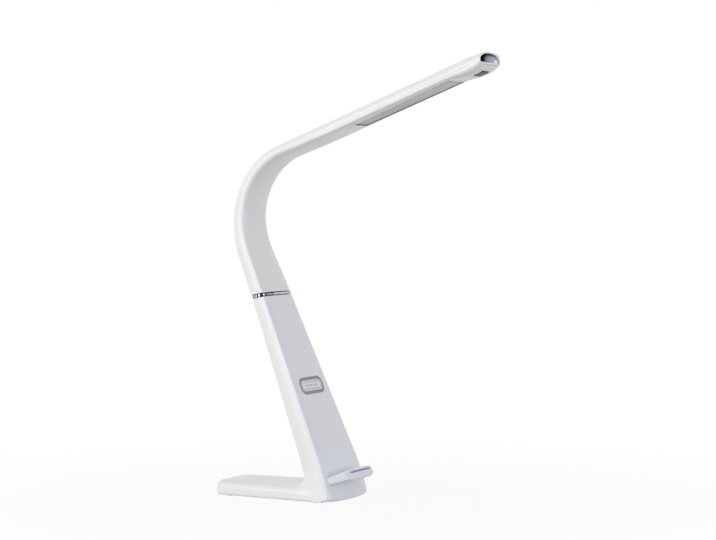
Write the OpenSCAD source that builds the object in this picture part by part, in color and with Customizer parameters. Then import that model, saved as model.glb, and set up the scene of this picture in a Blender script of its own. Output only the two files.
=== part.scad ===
// Desk lamp with a leaning post that charges a phone, a curved neck and a lit arm.
// Frame: +X forward (where the arm points), +Y the lamp's left, +Z up, millimetres.
// The origin is on the desk, under the middle of the lamp's length.

/* [Foot] */
// Length of the foot from its nose to its back end
foot_len = 121.4; // [100:0.1:140]
// Width of the foot at the nose
foot_w_front = 75; // [66:0.5:90]
// Width of the foot at the back end
foot_w_back = 57; // [48:0.5:66]
// Height of the top of the foot plate above the desk
foot_top = 13; // [12:0.1:16]
// Height that the rubber feet lift the shell off the desk
foot_lift = 0.8; // [0.5:0.1:1.5]
// Radius of the back corners of the foot, seen from above
foot_corner_r = 6; // [4:0.5:12]
// Radius of the top edge at the back end
foot_edge_r = 3.5; // [3:0.1:5]
// Radius of the hollow between the foot plate and the back of the post
heel_r = 6; // [4:0.5:10]
// How far the nose bulges forward between its corners
nose_bulge = 5; // [3:0.5:8]
// How far the corners of the nose stand ahead of the ledge's root
nose_step = 4; // [1:0.5:6]

/* [Post] */
// Lean of the post back from upright, in degrees
post_lean = 22.8; // [15:0.1:28]
// Length of the front face from the phone ledge to the ring
post_len = 165; // [150:0.5:200]
// Height of the phone ledge's root above the desk
ledge_z = 22.8; // [20:0.1:27]
// Width of the post at the ledge
post_w_low = 70.6; // [62:0.2:76]
// Width of the post and of the neck at the ring
ring_w = 50.2; // [46:0.2:56]
// Depth of the post from front to back at the ledge
post_t_low = 26.6; // [23:0.1:30]
// Depth of the post and of the neck at the ring
ring_t = 18; // [17.4:0.1:20]
// Depth of the rounded front edge of the post
post_edge = 2.6; // [2.4:0.1:4]
// Depth of the rounded front edge at the ring
ring_edge = 3.2; // [2.6:0.1:4.5]

/* [Ring] */
// Lean of the ring's axis back from upright, in degrees
ring_lean = 11.4; // [8:0.1:14]
// Height of the chrome ring, which is also the diameter of its hinge barrel
ring_h = 3; // [2.8:0.1:4]
// Width of the ring's band
ring_band = 1.8; // [1.2:0.1:2.4]
// Depth that the ring lies below the surfaces beside it
ring_inset = 0.3; // [0.1:0.1:0.6]
// Turn of the neck to each side, in degrees
swivel_range = 45; // [20:1:45]

/* [Neck] */
// Straight length of the neck above the ring
neck_straight = 38.4; // [30:0.2:60]
// Radius of the lower bend on its inner face
low_bend_r = 68.6; // [50:0.2:90]
// Turn of the lower bend, in degrees
low_bend_turn = 42.3; // [30:0.1:50]
// Radius of the upper bend on its inner face
high_bend_r = 54; // [40:0.2:80]
// Turn of the upper bend, in degrees
high_bend_turn = 49; // [40:0.1:60]
// Width of the neck in the bends
neck_w = 41.2; // [40:0.2:46]
// Depth of the neck in the lower bend
neck_t = 16.7; // [15.6:0.1:18]

/* [Arm] */
// Length of the straight arm from the upper bend to the tip
arm_len = 202; // [180:1:240]
// Width of the arm at the tip
tip_w = 41.2; // [40:0.2:46]
// Depth of the arm where it leaves the bend
arm_t = 12.2; // [12:0.1:14]
// Depth of the arm at the tip
tip_t = 12.6; // [12.4:0.1:16]
// Depth of the rounded lower edge at the tip
tip_edge = 5; // [4:0.1:5.5]
// Lean of the cut end back from upright, in degrees
tip_lean = 5; // [0:0.5:12]

/* [Light panel] */
// Distance from the tip to the near end of the light panel
panel_from_tip = 33; // [28:0.5:50]
// Length of the light panel
panel_len = 97; // [80:1:110]
// Width of the light panel at the end near the bend
panel_w_in = 23; // [20:0.5:26]
// Width of the light panel at the end near the tip
panel_w_out = 30; // [26:0.5:31]
// Thickness of the diffuser
diffuser_t = 1.6; // [1.2:0.1:2]
// Depth of the diffuser's face below the surface round it
diffuser_inset = 0.5; // [0.2:0.1:0.8]

/* [Key] */
// Distance from the tip to the middle of the key
key_from_tip = 10; // [9.5:0.1:14]
// Width of the key across the arm
key_w = 13.6; // [10:0.1:16]
// Length of the key along the arm
key_l = 8.8; // [7:0.1:9]
// Travel of the key
key_travel = 0.8; // [0.4:0.1:1]
// Depth of the bulge under the arm that carries the key
bulge_h = 2.7; // [1.5:0.1:3.5]

/* [Ledge and mark] */
// Distance that the ledge stands out of the face
ledge_out = 16; // [13:0.5:20]
// Width of the front of the ledge
ledge_front_w = 48; // [44:0.5:54]
// Thickness of the ledge at its front
ledge_t = 10.4; // [8:0.1:12]
// Diameter of the rounding along the front of the ledge
ledge_round_d = 5; // [3:0.5:7]
// Length of the light line in the ledge
ledge_light_l = 37; // [30:0.5:38]
// Distance from the ledge to the middle of the charging mark
mark_up = 81; // [65:0.5:100]
// Height of the charging mark
mark_h = 15.5; // [14:0.5:22]
// Length of the charging mark
mark_w = 41.5; // [36:0.5:50]
// Width of the line of the charging mark
mark_line = 3; // [1.5:0.1:4]
// Corner radius of the charging mark
mark_corner_r = 7; // [4.5:0.5:7]

/* [Walls and fits] */
// Wall of the plastic shells
wall = 2.2; // [1.8:0.1:2.4]
// Gap of a parting line between two shells
seam = 0.1; // [0.05:0.05:0.2]
// Gap round a piece that is pushed or dropped into its seat
fit = 0.15; // [0.1:0.05:0.3]
// Gap between faces that move past each other
run_gap = 0.3; // [0.2:0.05:0.4]
// Gap between a shaft and its bore, on the radius
shaft_gap = 0.05; // [0.02:0.01:0.1]

/* [Inside] */
// Diameter of the hollow swivel shaft
shaft_d = 7; // [6:0.1:7.4]
// Bore of the swivel shaft
shaft_bore = 4; // [3:0.1:4.6]
// Diameter of the hinge pin
pin_d = 1.6; // [1.2:0.1:1.8]
// Thickness of the steel ballast plate
ballast_t = 6; // [4:0.1:6.4]
// Diameter of the charging coil
coil_d = 44; // [38:0.5:46]
// Bore of the power inlet
inlet_bore = 3.6; // [3:0.1:4]
// Diameter of a wire harness
wire_d = 2.6; // [2:0.1:3]

/* [Hidden] */
$fn = 48;

// --- section and sweep formulas ---------------------------------------------------------
// Unit vector at an angle above +X, and the move along an arc that turns clockwise.
function dir(a) = [cos(a), sin(a)];
function arc_move(r, a, turn) = r * [sin(a) - sin(a - turn), cos(a - turn) - cos(a)];
function mix(a, b, f) = a + (b - a) * f;
function clamp01(f) = max(0, min(1, f));
// A power that keeps the sign, and the quarter-round that eases an end of radius r.
function spow(v, e) = sign(v) * pow(abs(v), e);
function ease(r, d) = d >= r ? 0 : r - sqrt(r * r - (r - d) * (r - d));

// A section is [y, n] points: y across the lamp, n from the front face towards the back.
// The arch is the back half, the tray the front half; both end on the widest line at n = edge.
arch_steps = 22;
tray_steps = 14;
function arch(w, t, edge, p) = [for (i = [0:arch_steps])
    let (a = 180 * i / arch_steps) [-w * spow(cos(a), 2 / p), edge + (t - edge) * pow(abs(sin(a)), 2 / p)]];
function tray(w, edge, q) = [for (i = [0:tray_steps])
    let (a = 180 * i / tray_steps) [-w * spow(cos(a), 2 / q), edge * (1 - pow(abs(sin(a)), 2 / q))]];
function back_to_front(list) = [for (i = [len(list) - 1:-1:0]) list[i]];
function lifted(list, d) = [for (v = list) [v[0], v[1] + d]];
function band(outer, inner) = concat(outer, back_to_front(inner));

// A station is [point, heading, shear, w, t, edge, p, q, wall]: the point is on the front face,
// the heading is along it, and the shear leans the section's plane along the heading.
thin = 0.4;
function placed(st, sec) = let (along = dir(st[1]), back = dir(st[1] + 90)) [for (v = sec)
    let (q = st[0] + v[1] * (back + st[2] * along)) [q[0], v[0], q[1]]];
// The last value of a station is the wall there, which is thinner where the end cap sits.
function shell_ring(st) = placed(st,
    band(arch(st[3], st[4], st[5], st[6]), arch(st[3] - st[8], st[4] - st[8], st[5], st[6])));
function cover_ring(st) = let (floor_n = min(st[8], st[5] - thin)) placed(st,
    band(lifted(tray(st[3] - st[8], st[5] - floor_n - seam, st[7]), floor_n), tray(st[3], st[5] - seam, st[7])));

function skin(m, r) = [for (i = [0:m - 2], j = [0:r - 1])
    let (a = i * r + j, b = i * r + (j + 1) % r) each [[a, b, b + r], [a, b + r, a + r]]];
function start_cap(r) = [[for (j = [r - 1:-1:0]) j]];
function end_cap_face(m, r) = [[for (j = [0:r - 1]) (m - 1) * r + j]];
// A band's end is closed by strips between its outer and inner lines.
function strip_start(r) = [for (j = [0:r / 2 - 2]) each [[j + 1, j, r - 1 - j], [j + 1, r - 1 - j, r - 2 - j]]];
function strip_end(m, r) = let (o = (m - 1) * r)
    [for (j = [0:r / 2 - 2]) each [[o + j, o + j + 1, o + r - 2 - j], [o + j, o + r - 2 - j, o + r - 1 - j]]];
module swept(rings) {
    m = len(rings);
    r = len(rings[0]);
    polyhedron([for (g = rings) each g], concat(skin(m, r), start_cap(r), end_cap_face(m, r)), convexity = 6);
}
module swept_band(rings) {
    m = len(rings);
    r = len(rings[0]);
    polyhedron([for (g = rings) each g], concat(skin(m, r), strip_start(r), strip_end(m, r)), convexity = 6);
}
// --- path of the front face -------------------------------------------------------------
lean = 90 + post_lean;
up_post = dir(lean);
to_back = dir(lean + 90);
ring_tilt = post_lean - ring_lean;
arm_angle = lean - low_bend_turn - high_bend_turn;
ring_stack = run_gap + ring_h + run_gap;
stack_len = ring_stack / cos(ring_tilt);
neck_rel = (post_len + stack_len) * up_post;
bend1_rel = neck_rel + neck_straight * up_post;
bend2_rel = bend1_rel + arc_move(low_bend_r, lean, low_bend_turn);
arm_rel = bend2_rel + arc_move(high_bend_r, lean - low_bend_turn, high_bend_turn);
tip_shear = tan(arm_angle - tip_lean);
tip_rel = arm_rel + arm_len * dir(arm_angle);
tip_reach = max(tip_rel[0], tip_rel[0] + tip_t * (cos(arm_angle + 90) + tip_shear * cos(arm_angle)));
nose_ahead = nose_bulge + nose_step;
back_rel = nose_ahead - foot_len;
face_x = -(tip_reach + back_rel) / 2;
root = [face_x, ledge_z];
nose_x = face_x + nose_ahead;
back_x = face_x + back_rel;
ring_front = root + post_len * up_post;
neck_start = root + neck_rel;
arm_start = root + arm_rel;
tip = root + tip_rel;

// --- foot and post ----------------------------------------------------------------------
heel_up = (foot_top + heel_r - ledge_z - (post_t_low + heel_r) * to_back[1]) / up_post[1];
heel = root + (post_t_low + heel_r) * to_back + heel_up * up_post;
function foot_half(x) = mix(foot_w_back, foot_w_front, (x - back_x) / foot_len) / 2;
function post_half(s) = mix(post_w_low, ring_w, s / post_len) / 2;
function post_share(s) = (s - heel_up) / (post_len - heel_up);
function post_depth(s) = mix(post_t_low, ring_t, post_share(s));
plate_p = 7;
post_p = 3;
nose_q = 2.6;
face_q = 9;
ring_q = 5.5;
blend_len = 30;
end_dists = [0, 0.5, 1.4, 2.6, 4.2, 6, 20, 36, 52];
cover_turn = 0.52;
corner_turn = (90 + atan2(foot_lift - heel[1], nose_x - heel[0])) / lean;
corner_sharp = 30;
function reach_at(a) = let (
    low = max(0, -sin(a)) / (heel[1] - foot_lift),
    front = max(0, cos(a)) / (nose_x - heel[0]),
    face = max(0, cos(a - post_lean)) / (post_t_low + heel_r))
    1 / pow(pow(low, corner_sharp) + pow(front, corner_sharp) + pow(face, corner_sharp), 1 / corner_sharp);
function nose_edge(f) = f <= cover_turn ? 0
    : f < corner_turn ? mix(0, post_edge + nose_bulge, (f - cover_turn) / (corner_turn - cover_turn))
    : mix(post_edge + nose_bulge, post_edge, (f - corner_turn) / (1 - corner_turn));
function turn_station(f) = let (
    a = f * lean - 90,
    reach = reach_at(a),
    o = heel + reach * dir(a),
    up = clamp01((o[1] - foot_lift) / (ledge_z + heel_up * up_post[1] - foot_lift)))
    [o, a + 90, 0, mix(foot_half(min(o[0], nose_x)), post_half(heel_up), up), reach - heel_r, nose_edge(f),
        mix(plate_p, post_p, f), mix(nose_q, face_q, clamp01((f - corner_turn) / (1 - corner_turn))), wall];
function post_station(s) = [root + s * up_post, lean,
    tan(ring_tilt) * clamp01(1 - (post_len - s) / blend_len), post_half(s), post_depth(s),
    mix(post_edge, ring_edge, post_share(s)), post_p, mix(face_q, ring_q, post_share(s)), wall];
turn_steps = 9;
corner_gap = 0.012;
turn_low = [for (i = [0:turn_steps]) mix(0, corner_turn - corner_gap, i / turn_steps)];
turn_cover = [for (i = [0:3]) mix(cover_turn, corner_turn - corner_gap, i / 3)];
turn_high = [for (i = [0:6]) mix(corner_turn + corner_gap, 1, i / 6)];
post_steps = [for (s = [0.2, 0.45, 0.7, 0.84, 1]) mix(heel_up, post_len, s)];
shell_low = [for (f = turn_low) if (f < cover_turn - 0.02) turn_station(f)];
shell_high = concat([for (f = turn_cover) turn_station(f)], [for (f = turn_high) turn_station(f)],
    [for (s = post_steps) post_station(s)]);
plate_len = heel[0] - back_x;
function foot_arch(d, cut) = let (
    x = back_x + d,
    w = foot_half(x) - cut - ease(foot_corner_r - cut, d - cut),
    t = foot_top - foot_lift - cut - ease(foot_edge_r - cut, d - cut))
    placed([[x, foot_lift], 0, 0], arch(w, t, 0, plate_p));
function foot_ring(d) = band(foot_arch(d, 0), foot_arch(mix(wall, plate_len, d / plate_len), wall));

module base_shell() {
    rings = concat([for (d = end_dists) foot_ring(d)], [for (st = concat(shell_low, shell_high)) shell_ring(st)]);
    m = len(rings);
    r = len(rings[0]);
    k = r / 2;
    back_wall = [[for (j = [k - 1:-1:0]) j], [for (j = [r - 1:-1:k]) j], [k - 1, 0, r - 1, k]];
    color("white")
    difference() {
        union() {
            polyhedron([for (g = rings) each g], concat(skin(m, r), back_wall, strip_end(m, r)), convexity = 8);
            for (v = base_screw_spots) translate([v[0], v[1], boss_z]) cylinder(d = boss_d, h = foot_boss_h);
        }
        for (v = base_screw_spots) translate([v[0], v[1], boss_z - 1])
            cylinder(d = screw_d + 2 * seam, h = foot_boss_h + 0.5);
        inlet_slot();
    }
}
inlet_face_d = 5.4;
inlet_z = foot_lift + 3.5;
module inlet_place() translate([back_x, 0, inlet_z]) rotate([0, 90, 0]) children();
// The slot in the back wall that the inlet is dropped into, open at the bottom edge.
module inlet_slot() inlet_place() translate([0, 0, -1]) {
    cylinder(d = inlet_face_d + 2 * fit, h = wall + 2);
    translate([0, -(inlet_face_d / 2 + fit), 0]) cube([inlet_z, inlet_face_d + 2 * fit, wall + 2]);
}

// The strip that closes the nose and the front face of the post.
module front_panel() {
    low = [for (f = turn_cover) if (f > cover_turn + 0.02) turn_station(f)];
    high = concat([for (f = turn_high) turn_station(f)], [for (s = post_steps) post_station(s)]);
    color("lavender")
    difference() {
        union() {
            swept_band([for (st = concat(low, high)) cover_ring(st)]);
            on_face() for (v = boss_spots) translate([v[0], v[1], seam - board_n])
                cylinder(d = boss_d, h = board_n - 1);
        }
        on_face() translate([0, mark_up, -mark_depth])
            linear_extrude(1) mark_plan(mark_fit);
        on_face() for (v = boss_spots) translate([v[0], v[1], -board_n - 1])
            cylinder(d = screw_d + 2 * seam, h = boss_bore);
    }
}
boss_bore = 3.2;
mark_depth = 0.4;
mark_fit = 0.05;
// Puts a drawing on the front face: its X runs to the lamp's left, its Y up the face, and its
// -Z into the face.
module on_face() translate([root[0], 0, root[1]]) rotate([90 - post_lean, 0, 90]) children();
module round_plan(l, h, r) {
    square([l - 2 * r, h], center = true);
    square([l, h - 2 * r], center = true);
    for (x = [-1, 1], y = [-1, 1]) translate([x * (l / 2 - r), y * (h / 2 - r)]) circle(r = r);
}
module mark_plan(grow) difference() {
    round_plan(mark_w + 2 * grow, mark_h + 2 * grow, mark_corner_r + grow);
    round_plan(mark_w - 2 * (mark_line + grow), mark_h - 2 * (mark_line + grow), mark_corner_r - mark_line - grow);
}

// The plate that closes the foot underneath, with seats for the rubber feet.
module foot_plan(cut, from_x, to_x) {
    r = foot_corner_r - cut;
    side = [for (d = [0, 0.1, 0.3, 0.6, 1]) let (x = from_x + d * r) [x, foot_half(x) - cut - ease(r, d * r)]];
    line = concat(side, [[to_x, foot_half(to_x) - cut]]);
    polygon(concat([for (v = line) [v[0], -v[1]]], back_to_front(line)));
}
cover_front = turn_station(cover_turn)[0][0] - seam;
cover_t = 1.8;
foot_pad_d = 8;
foot_pad_seat = 1;
foot_pads = [for (x = [back_x + 13, cover_front - 6], side = [-1, 1]) [x, side * (foot_half(x) - wall - 7)]];
screw_d = 2.5;
base_screw_spots = [for (x = [back_x + 26, cover_front - 18], side = [-1, 1]) [x, side * (foot_half(x) - wall - 5)]];
inlet_len = 12;
module base_cover() color("gainsboro") difference() {
    translate([0, 0, foot_lift]) linear_extrude(cover_t) foot_plan(wall + fit, back_x + wall + fit, cover_front);
    for (v = foot_pads) translate([v[0], v[1], foot_lift - 1])
        cylinder(d = foot_pad_d + 2 * fit, h = 1 + foot_pad_seat);
    for (v = base_screw_spots) translate([v[0], v[1], foot_lift - 1]) {
        cylinder(d = screw_d + 2 * fit, h = cover_t + 2);
        cylinder(d = screw_head_d + 2 * fit, h = 1 + screw_sink + screw_head_t);
    }
    translate([back_x, -(inlet_face_d / 2 + fit), foot_lift - 1])
        cube([inlet_len + 1, inlet_face_d + 2 * fit, cover_t + 2]);
}
module rubber_feet() color("dimgray")
    for (v = foot_pads) translate([v[0], v[1], 0]) cylinder(d = foot_pad_d, h = foot_lift + foot_pad_seat);

// The steel plate in the foot, with a notch for the inlet and holes for the screws.
ballast_z = foot_lift + cover_t + seam;
ballast_notch = 26;
ballast_side = 1;
module ballast_plate() color("slategray") difference() {
    translate([0, 0, ballast_z]) linear_extrude(ballast_t)
        foot_plan(wall + ballast_side, back_x + wall + ballast_side, cover_front - 1);
    for (v = base_screw_spots) translate([v[0], v[1], 0]) cylinder(d = screw_d + 2 * fit, h = foot_top);
    translate([back_x, -inlet_face_d, 0]) cube([ballast_notch, 2 * inlet_face_d, foot_top]);
}
boss_z = ballast_z + ballast_t + seam;
foot_boss_h = foot_top - 1 - boss_z;
screw_head_d = 4.4;
screw_head_t = 1.1;
screw_sink = 0.1;
module base_screws() color("silver") for (v = base_screw_spots) translate([v[0], v[1], foot_lift + screw_sink]) {
    cylinder(d = screw_head_d, h = screw_head_t);
    cylinder(d = screw_d, h = foot_top - 1.8 - foot_lift - screw_sink);
}

// The power inlet: a round socket, open at the back of the foot.
inlet_depth = 9;
module dc_inlet() color("black") inlet_place() difference() {
    cylinder(d = inlet_face_d, h = inlet_len);
    translate([0, 0, -1]) cylinder(d = inlet_bore, h = inlet_depth + 1);
}

// A lead in the plane of symmetry: a round tube through [x, z, heading] stations.
lead_sides = 10;
function lead_ring(v, d) = let (side = dir(v[2] + 90)) [for (i = [0:lead_sides - 1]) let (a = -360 * i / lead_sides)
    [v[0] + d / 2 * sin(a) * side[0], d / 2 * cos(a), v[1] + d / 2 * sin(a) * side[1]]];
module lead(route, d) swept([for (v = route) lead_ring(v, d)]);
function on_post(s, n, turn) = let (q = root + s * up_post + n * to_back) [q[0], q[1], lean + turn];
lead_d = 1.6;
lead_z = ballast_z + ballast_t + lead_d / 2 + seam;
module inlet_lead() color("black") lead([
    [back_x + inlet_len, inlet_z, 0], [back_x + inlet_len + 2, inlet_z, 20],
    [back_x + ballast_notch - 3, lead_z - 0.6, 20], [back_x + ballast_notch, lead_z, 0],
    [heel[0] - 8, lead_z, 0], [heel[0] + 6, lead_z + 0.4, 25], on_post(8, 15, -35), on_post(20, 12, 0),
    on_post(board_up - board_l / 2, board_n + board_t + 2, 0)], lead_d);

// --- wireless charger -------------------------------------------------------------------
coil_t = 1.6;
coil_bore = 20;
ferrite_t = 1;
coil_n = wall + seam;
ferrite_n = coil_n + coil_t;
board_n = ferrite_n + ferrite_t + seam;
board_t = 1.6;
board_w = 49;
board_l = 58;
board_up = mark_up;
boss_d = 5;
boss_spots = [for (x = [-1, 1], y = [-1, 1]) [x * (board_w / 2 - 3), board_up + y * (board_l / 2 - 3)]];
module charging_coil() color("peru") on_face() translate([0, mark_up, -coil_n - coil_t])
    difference() {
        cylinder(d = coil_d, h = coil_t);
        translate([0, 0, -1]) cylinder(d = coil_bore, h = coil_t + 2);
    }
module ferrite_sheet() color("darkslategray") on_face() translate([0, mark_up, -ferrite_n - ferrite_t])
    cylinder(d = coil_d + 2, h = ferrite_t);
module charging_board() color("seagreen") on_face() {
    parts_z = -board_n - board_t;
    difference() {
        translate([-board_w / 2, board_up - board_l / 2, parts_z]) cube([board_w, board_l, board_t]);
        for (v = boss_spots) translate([v[0], v[1], parts_z - 1]) cylinder(d = screw_d + 2 * fit, h = board_t + 2);
    }
    translate([-12, board_up - 14, parts_z - choke_h]) cube([choke_l, choke_l, choke_h]);
    translate([4, board_up - 8, parts_z - chip_h]) cube([chip_side, chip_side, chip_h]);
    for (y = [board_l / 2 - plug_side, -board_l / 2]) translate([-plug_side / 2, board_up + y, parts_z - plug_h])
        cube([plug_side, plug_side, plug_h]);
    for (x = [-14, 14]) translate([x, board_up + 12, parts_z - can_h]) cylinder(d = can_d, h = can_h);
}
choke_l = 10;
choke_h = 3;
chip_side = 8;
chip_h = 1.5;
plug_side = 6;
plug_h = 4;
can_d = 6;
can_h = 5;
board_screw_l = 4.5;
module board_screws() color("silver") on_face() for (v = boss_spots) translate([v[0], v[1], -board_n - board_t]) {
    cylinder(d = screw_d, h = board_screw_l - 1.6);
    translate([0, 0, -screw_head_t]) cylinder(d = screw_head_d, h = screw_head_t);
}
module charge_mark() color("gray") on_face() translate([0, mark_up, -mark_depth])
    linear_extrude(mark_depth) mark_plan(0);

// --- phone ledge ------------------------------------------------------------------------
ledge_root_w = 64;
ledge_root_t = 9;
guide_t = 1.6;
guide_drop = 2.4;
ledge_root_step = 0.5;
// The light guide runs through the ledge and ends as a line in its front.
module guide_shape(grow, more) translate([-ledge_light_l / 2 - grow, -guide_drop - guide_t - grow, seam - more])
    cube([ledge_light_l + 2 * grow, guide_t + 2 * grow, ledge_out - 2 * seam + 2 * more]);
module phone_ledge() color("white") on_face() difference() {
    hull() {
        translate([-ledge_root_w / 2, -ledge_root_t, seam]) cube([ledge_root_w, ledge_root_t, ledge_root_step]);
        for (side = [-1, 1], y = [ledge_round_d / 2, ledge_t - ledge_round_d / 2])
            translate([side * (ledge_front_w - ledge_round_d) / 2, -y, ledge_out - ledge_round_d / 2])
                sphere(d = ledge_round_d, $fn = 32);
    }
    guide_shape(0.05, 1);
}
module ledge_light() color("royalblue") on_face() guide_shape(0, 0);
indicator_board_w = 42;
module indicator_board() color("seagreen") on_face() {
    translate([-indicator_board_w / 2, -3, -wall - 1.7]) cube([indicator_board_w, 9, 1.2]);
    for (x = [-15:10:15]) translate([x - 1.5, 0, -wall - 0.5]) cube([3, 1.4, 0.4]);
}

// --- ring, swivel and hinge -------------------------------------------------------------
// Frame of the ring: origin on the front face at the top of the post, +Z along the swivel.
module at_ring() translate([ring_front[0], 0, ring_front[1]]) rotate([0, -ring_lean, 0]) children();
module at_neck() translate([neck_start[0], 0, neck_start[1]]) rotate([0, -post_lean, 0]) children();
// Outline in a level plane: the arch of a section, cut off by a straight line at n = front.
module plan(w, t, front, c) intersection() {
    polygon(concat([for (v = arch(w, t, ring_edge, post_p)) [-v[1] / c, v[0]]], [[1, w], [1, -w]]));
    translate([-front / c - 2 * t, -2 * w]) square([2 * t, 4 * w]);
}
tilt_c = cos(ring_tilt);
shaft_back = 9;
cap_t = 3.6;
cap_drop = 0.3;
cap_back = 0.5;
cap_slip = cap_t * tan(ring_tilt) / 2;
bush_d = 9.4;
stop_r = 6.8;
stop_d = 1.8;
stop_slack = 2.5;
slot_w = stop_d + 2 * fit;
nut_d = 10.4;
nut_t = 3;
spring_t = 1;
washer_d = 11.4;
nut_z = -cap_drop - cap_t - seam - spring_t - seam;
module shaft_place() translate([-shaft_back, 0, 0]) children();
module post_cap() color("gainsboro") at_ring() difference() {
    translate([(cap_drop + cap_t / 2) * tan(ring_tilt), 0, -cap_drop - cap_t]) linear_extrude(cap_t)
        plan(ring_w / 2 - wall - fit, ring_t - wall - fit - cap_slip, wall + cap_back + cap_slip, tilt_c);
    shaft_place() translate([0, 0, -cap_drop - cap_t - 1]) cylinder(d = bush_d + 0.02, h = cap_t + 2);
    shaft_place() translate([0, 0, -cap_drop - 1.6]) stop_slot(2.6);
}
// The arc that the stop pin travels in, as far as its limits and a little slack.
module stop_slot(h) {
    half = swivel_range + stop_slack;
    rotate([0, 0, 90 - half]) rotate_extrude(angle = 2 * half)
        translate([stop_r - slot_w / 2, 0]) square([slot_w, h]);
    for (side = [-1, 1]) rotate([0, 0, 90 + side * half]) translate([stop_r, 0, 0]) cylinder(d = slot_w, h = h);
}
module swivel_bush() color("darkgoldenrod") at_ring() shaft_place() translate([0, 0, -cap_drop - cap_t]) difference() {
    cylinder(d = bush_d, h = cap_t);
    translate([0, 0, -1]) cylinder(d = shaft_d + 2 * shaft_gap, h = cap_t + 2);
}
module thrust_washer() color("ivory") at_ring() shaft_place() translate([0, 0, -cap_drop + shaft_gap]) difference() {
    cylinder(d = washer_d, h = run_gap + cap_drop - 2 * shaft_gap);
    translate([0, 0, -1]) cylinder(d = shaft_d + 2 * fit, h = 3);
}
module spring_washer() color("silver") at_ring() shaft_place() translate([0, 0, nut_z + seam]) difference() {
    cylinder(d = bush_d, h = spring_t);
    translate([0, 0, -1]) cylinder(d = shaft_d + 2 * fit, h = spring_t + 2);
}
module lock_nut() color("silver") at_ring() shaft_place() translate([0, 0, nut_z - nut_t]) difference() {
    cylinder(d = nut_d, h = nut_t, $fn = 6);
    translate([0, 0, -1]) cylinder(d = shaft_d + 0.02, h = nut_t + 2);
}
flange_d = 10;
flange_t = 1.2;
collar_t = ring_h - 0.2;
module swivel_shaft() color("silver") at_ring() shaft_place() difference() {
    union() {
        translate([0, 0, nut_z - nut_t - 0.5]) cylinder(d = shaft_d, h = run_gap + collar_t - nut_z + nut_t + 0.5);
        translate([0, 0, run_gap + collar_t - flange_t]) cylinder(d = flange_d, h = flange_t);
    }
    translate([0, 0, nut_z - nut_t - 2]) cylinder(d = shaft_bore, h = 30);
}
module collar_plate() color("darkgray") at_ring() difference() {
    translate([-ring_mid * tan(ring_tilt), 0, run_gap]) linear_extrude(collar_t)
        plan(ring_w / 2 - ring_inset - ring_band - fit, ring_t - ring_inset - ring_band - fit,
            ring_inset + ring_h + run_gap, tilt_c);
    shaft_place() cylinder(d = shaft_d + 0.02, h = ring_h + 2);
    shaft_place() translate([0, 0, run_gap + collar_t - flange_t]) cylinder(d = flange_d + 2 * fit, h = flange_t + 1);
    shaft_place() translate([0, stop_r, 0]) cylinder(d = stop_d + 0.02, h = ring_h + 2);
}
module stop_pin() color("silver") at_ring() shaft_place() translate([0, stop_r, -cap_drop - 1.3])
    cylinder(d = stop_d, h = cap_drop + 1.3 + run_gap + collar_t - flange_t - seam);

ring_mid = run_gap + ring_h / 2;
barrel_x = -(ring_inset + ring_h / 2) - ring_mid * tan(ring_tilt);
leaf_half = 6.8;
leaf_t = 0.85;
leaf_l = 14;
leaf_foot = 1.4;
module at_barrel() at_ring() translate([barrel_x, 0, ring_mid]) rotate([-90, 0, 0]) children();
module chrome_ring() color("silver") difference() {
    union() {
        at_ring() translate([-ring_mid * tan(ring_tilt), 0, run_gap]) linear_extrude(ring_h) difference() {
            plan(ring_w / 2 - ring_inset, ring_t - ring_inset, ring_inset + ring_h / 2, tilt_c);
            plan(ring_w / 2 - ring_inset - ring_band, ring_t - ring_inset - ring_band, -1, tilt_c);
        }
        at_barrel() for (side = [-1, 1]) translate([0, 0, side < 0 ? -barrel_half : leaf_half + 0.2])
            cylinder(d = ring_h, h = barrel_half - leaf_half - 0.2);
    }
    at_barrel() translate([0, 0, -barrel_half + 1]) cylinder(d = pin_d + 0.02, h = 2 * barrel_half - 2);
}
barrel_half = ring_w / 2 - ring_inset - 0.4;
module fold_pin() color("gray") at_barrel() translate([0, 0, 1.1 - barrel_half])
    cylinder(d = pin_d, h = 2 * barrel_half - 2.2);
module hinge_leaf() color("silver") difference() {
    union() {
        at_barrel() translate([0, 0, -leaf_half]) cylinder(d = ring_h - 0.1, h = 2 * leaf_half);
        at_neck() translate([-wall - fit - leaf_t, 0.3 - leaf_half, leaf_foot - stack_len / 2])
            cube([leaf_t, 2 * leaf_half - 0.6, leaf_l]);
    }
    at_barrel() translate([0, 0, -leaf_half - 1]) cylinder(d = pin_d + 2 * shaft_gap, h = 2 * leaf_half + 2);
    at_neck() leaf_screw_spots() cylinder(d = screw_d + 0.1, h = 20);
}
leaf_screw_s = 8.5;
module leaf_screw_spots() for (side = [-1, 1])
    translate([-wall - fit + 0.5, side * 4.6, leaf_screw_s]) rotate([0, -90, 0]) children();
module hinge_screws() color("dimgray") at_neck() leaf_screw_spots() translate([0, 0, 0.6]) cylinder(d = screw_d, h = 6);

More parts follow.
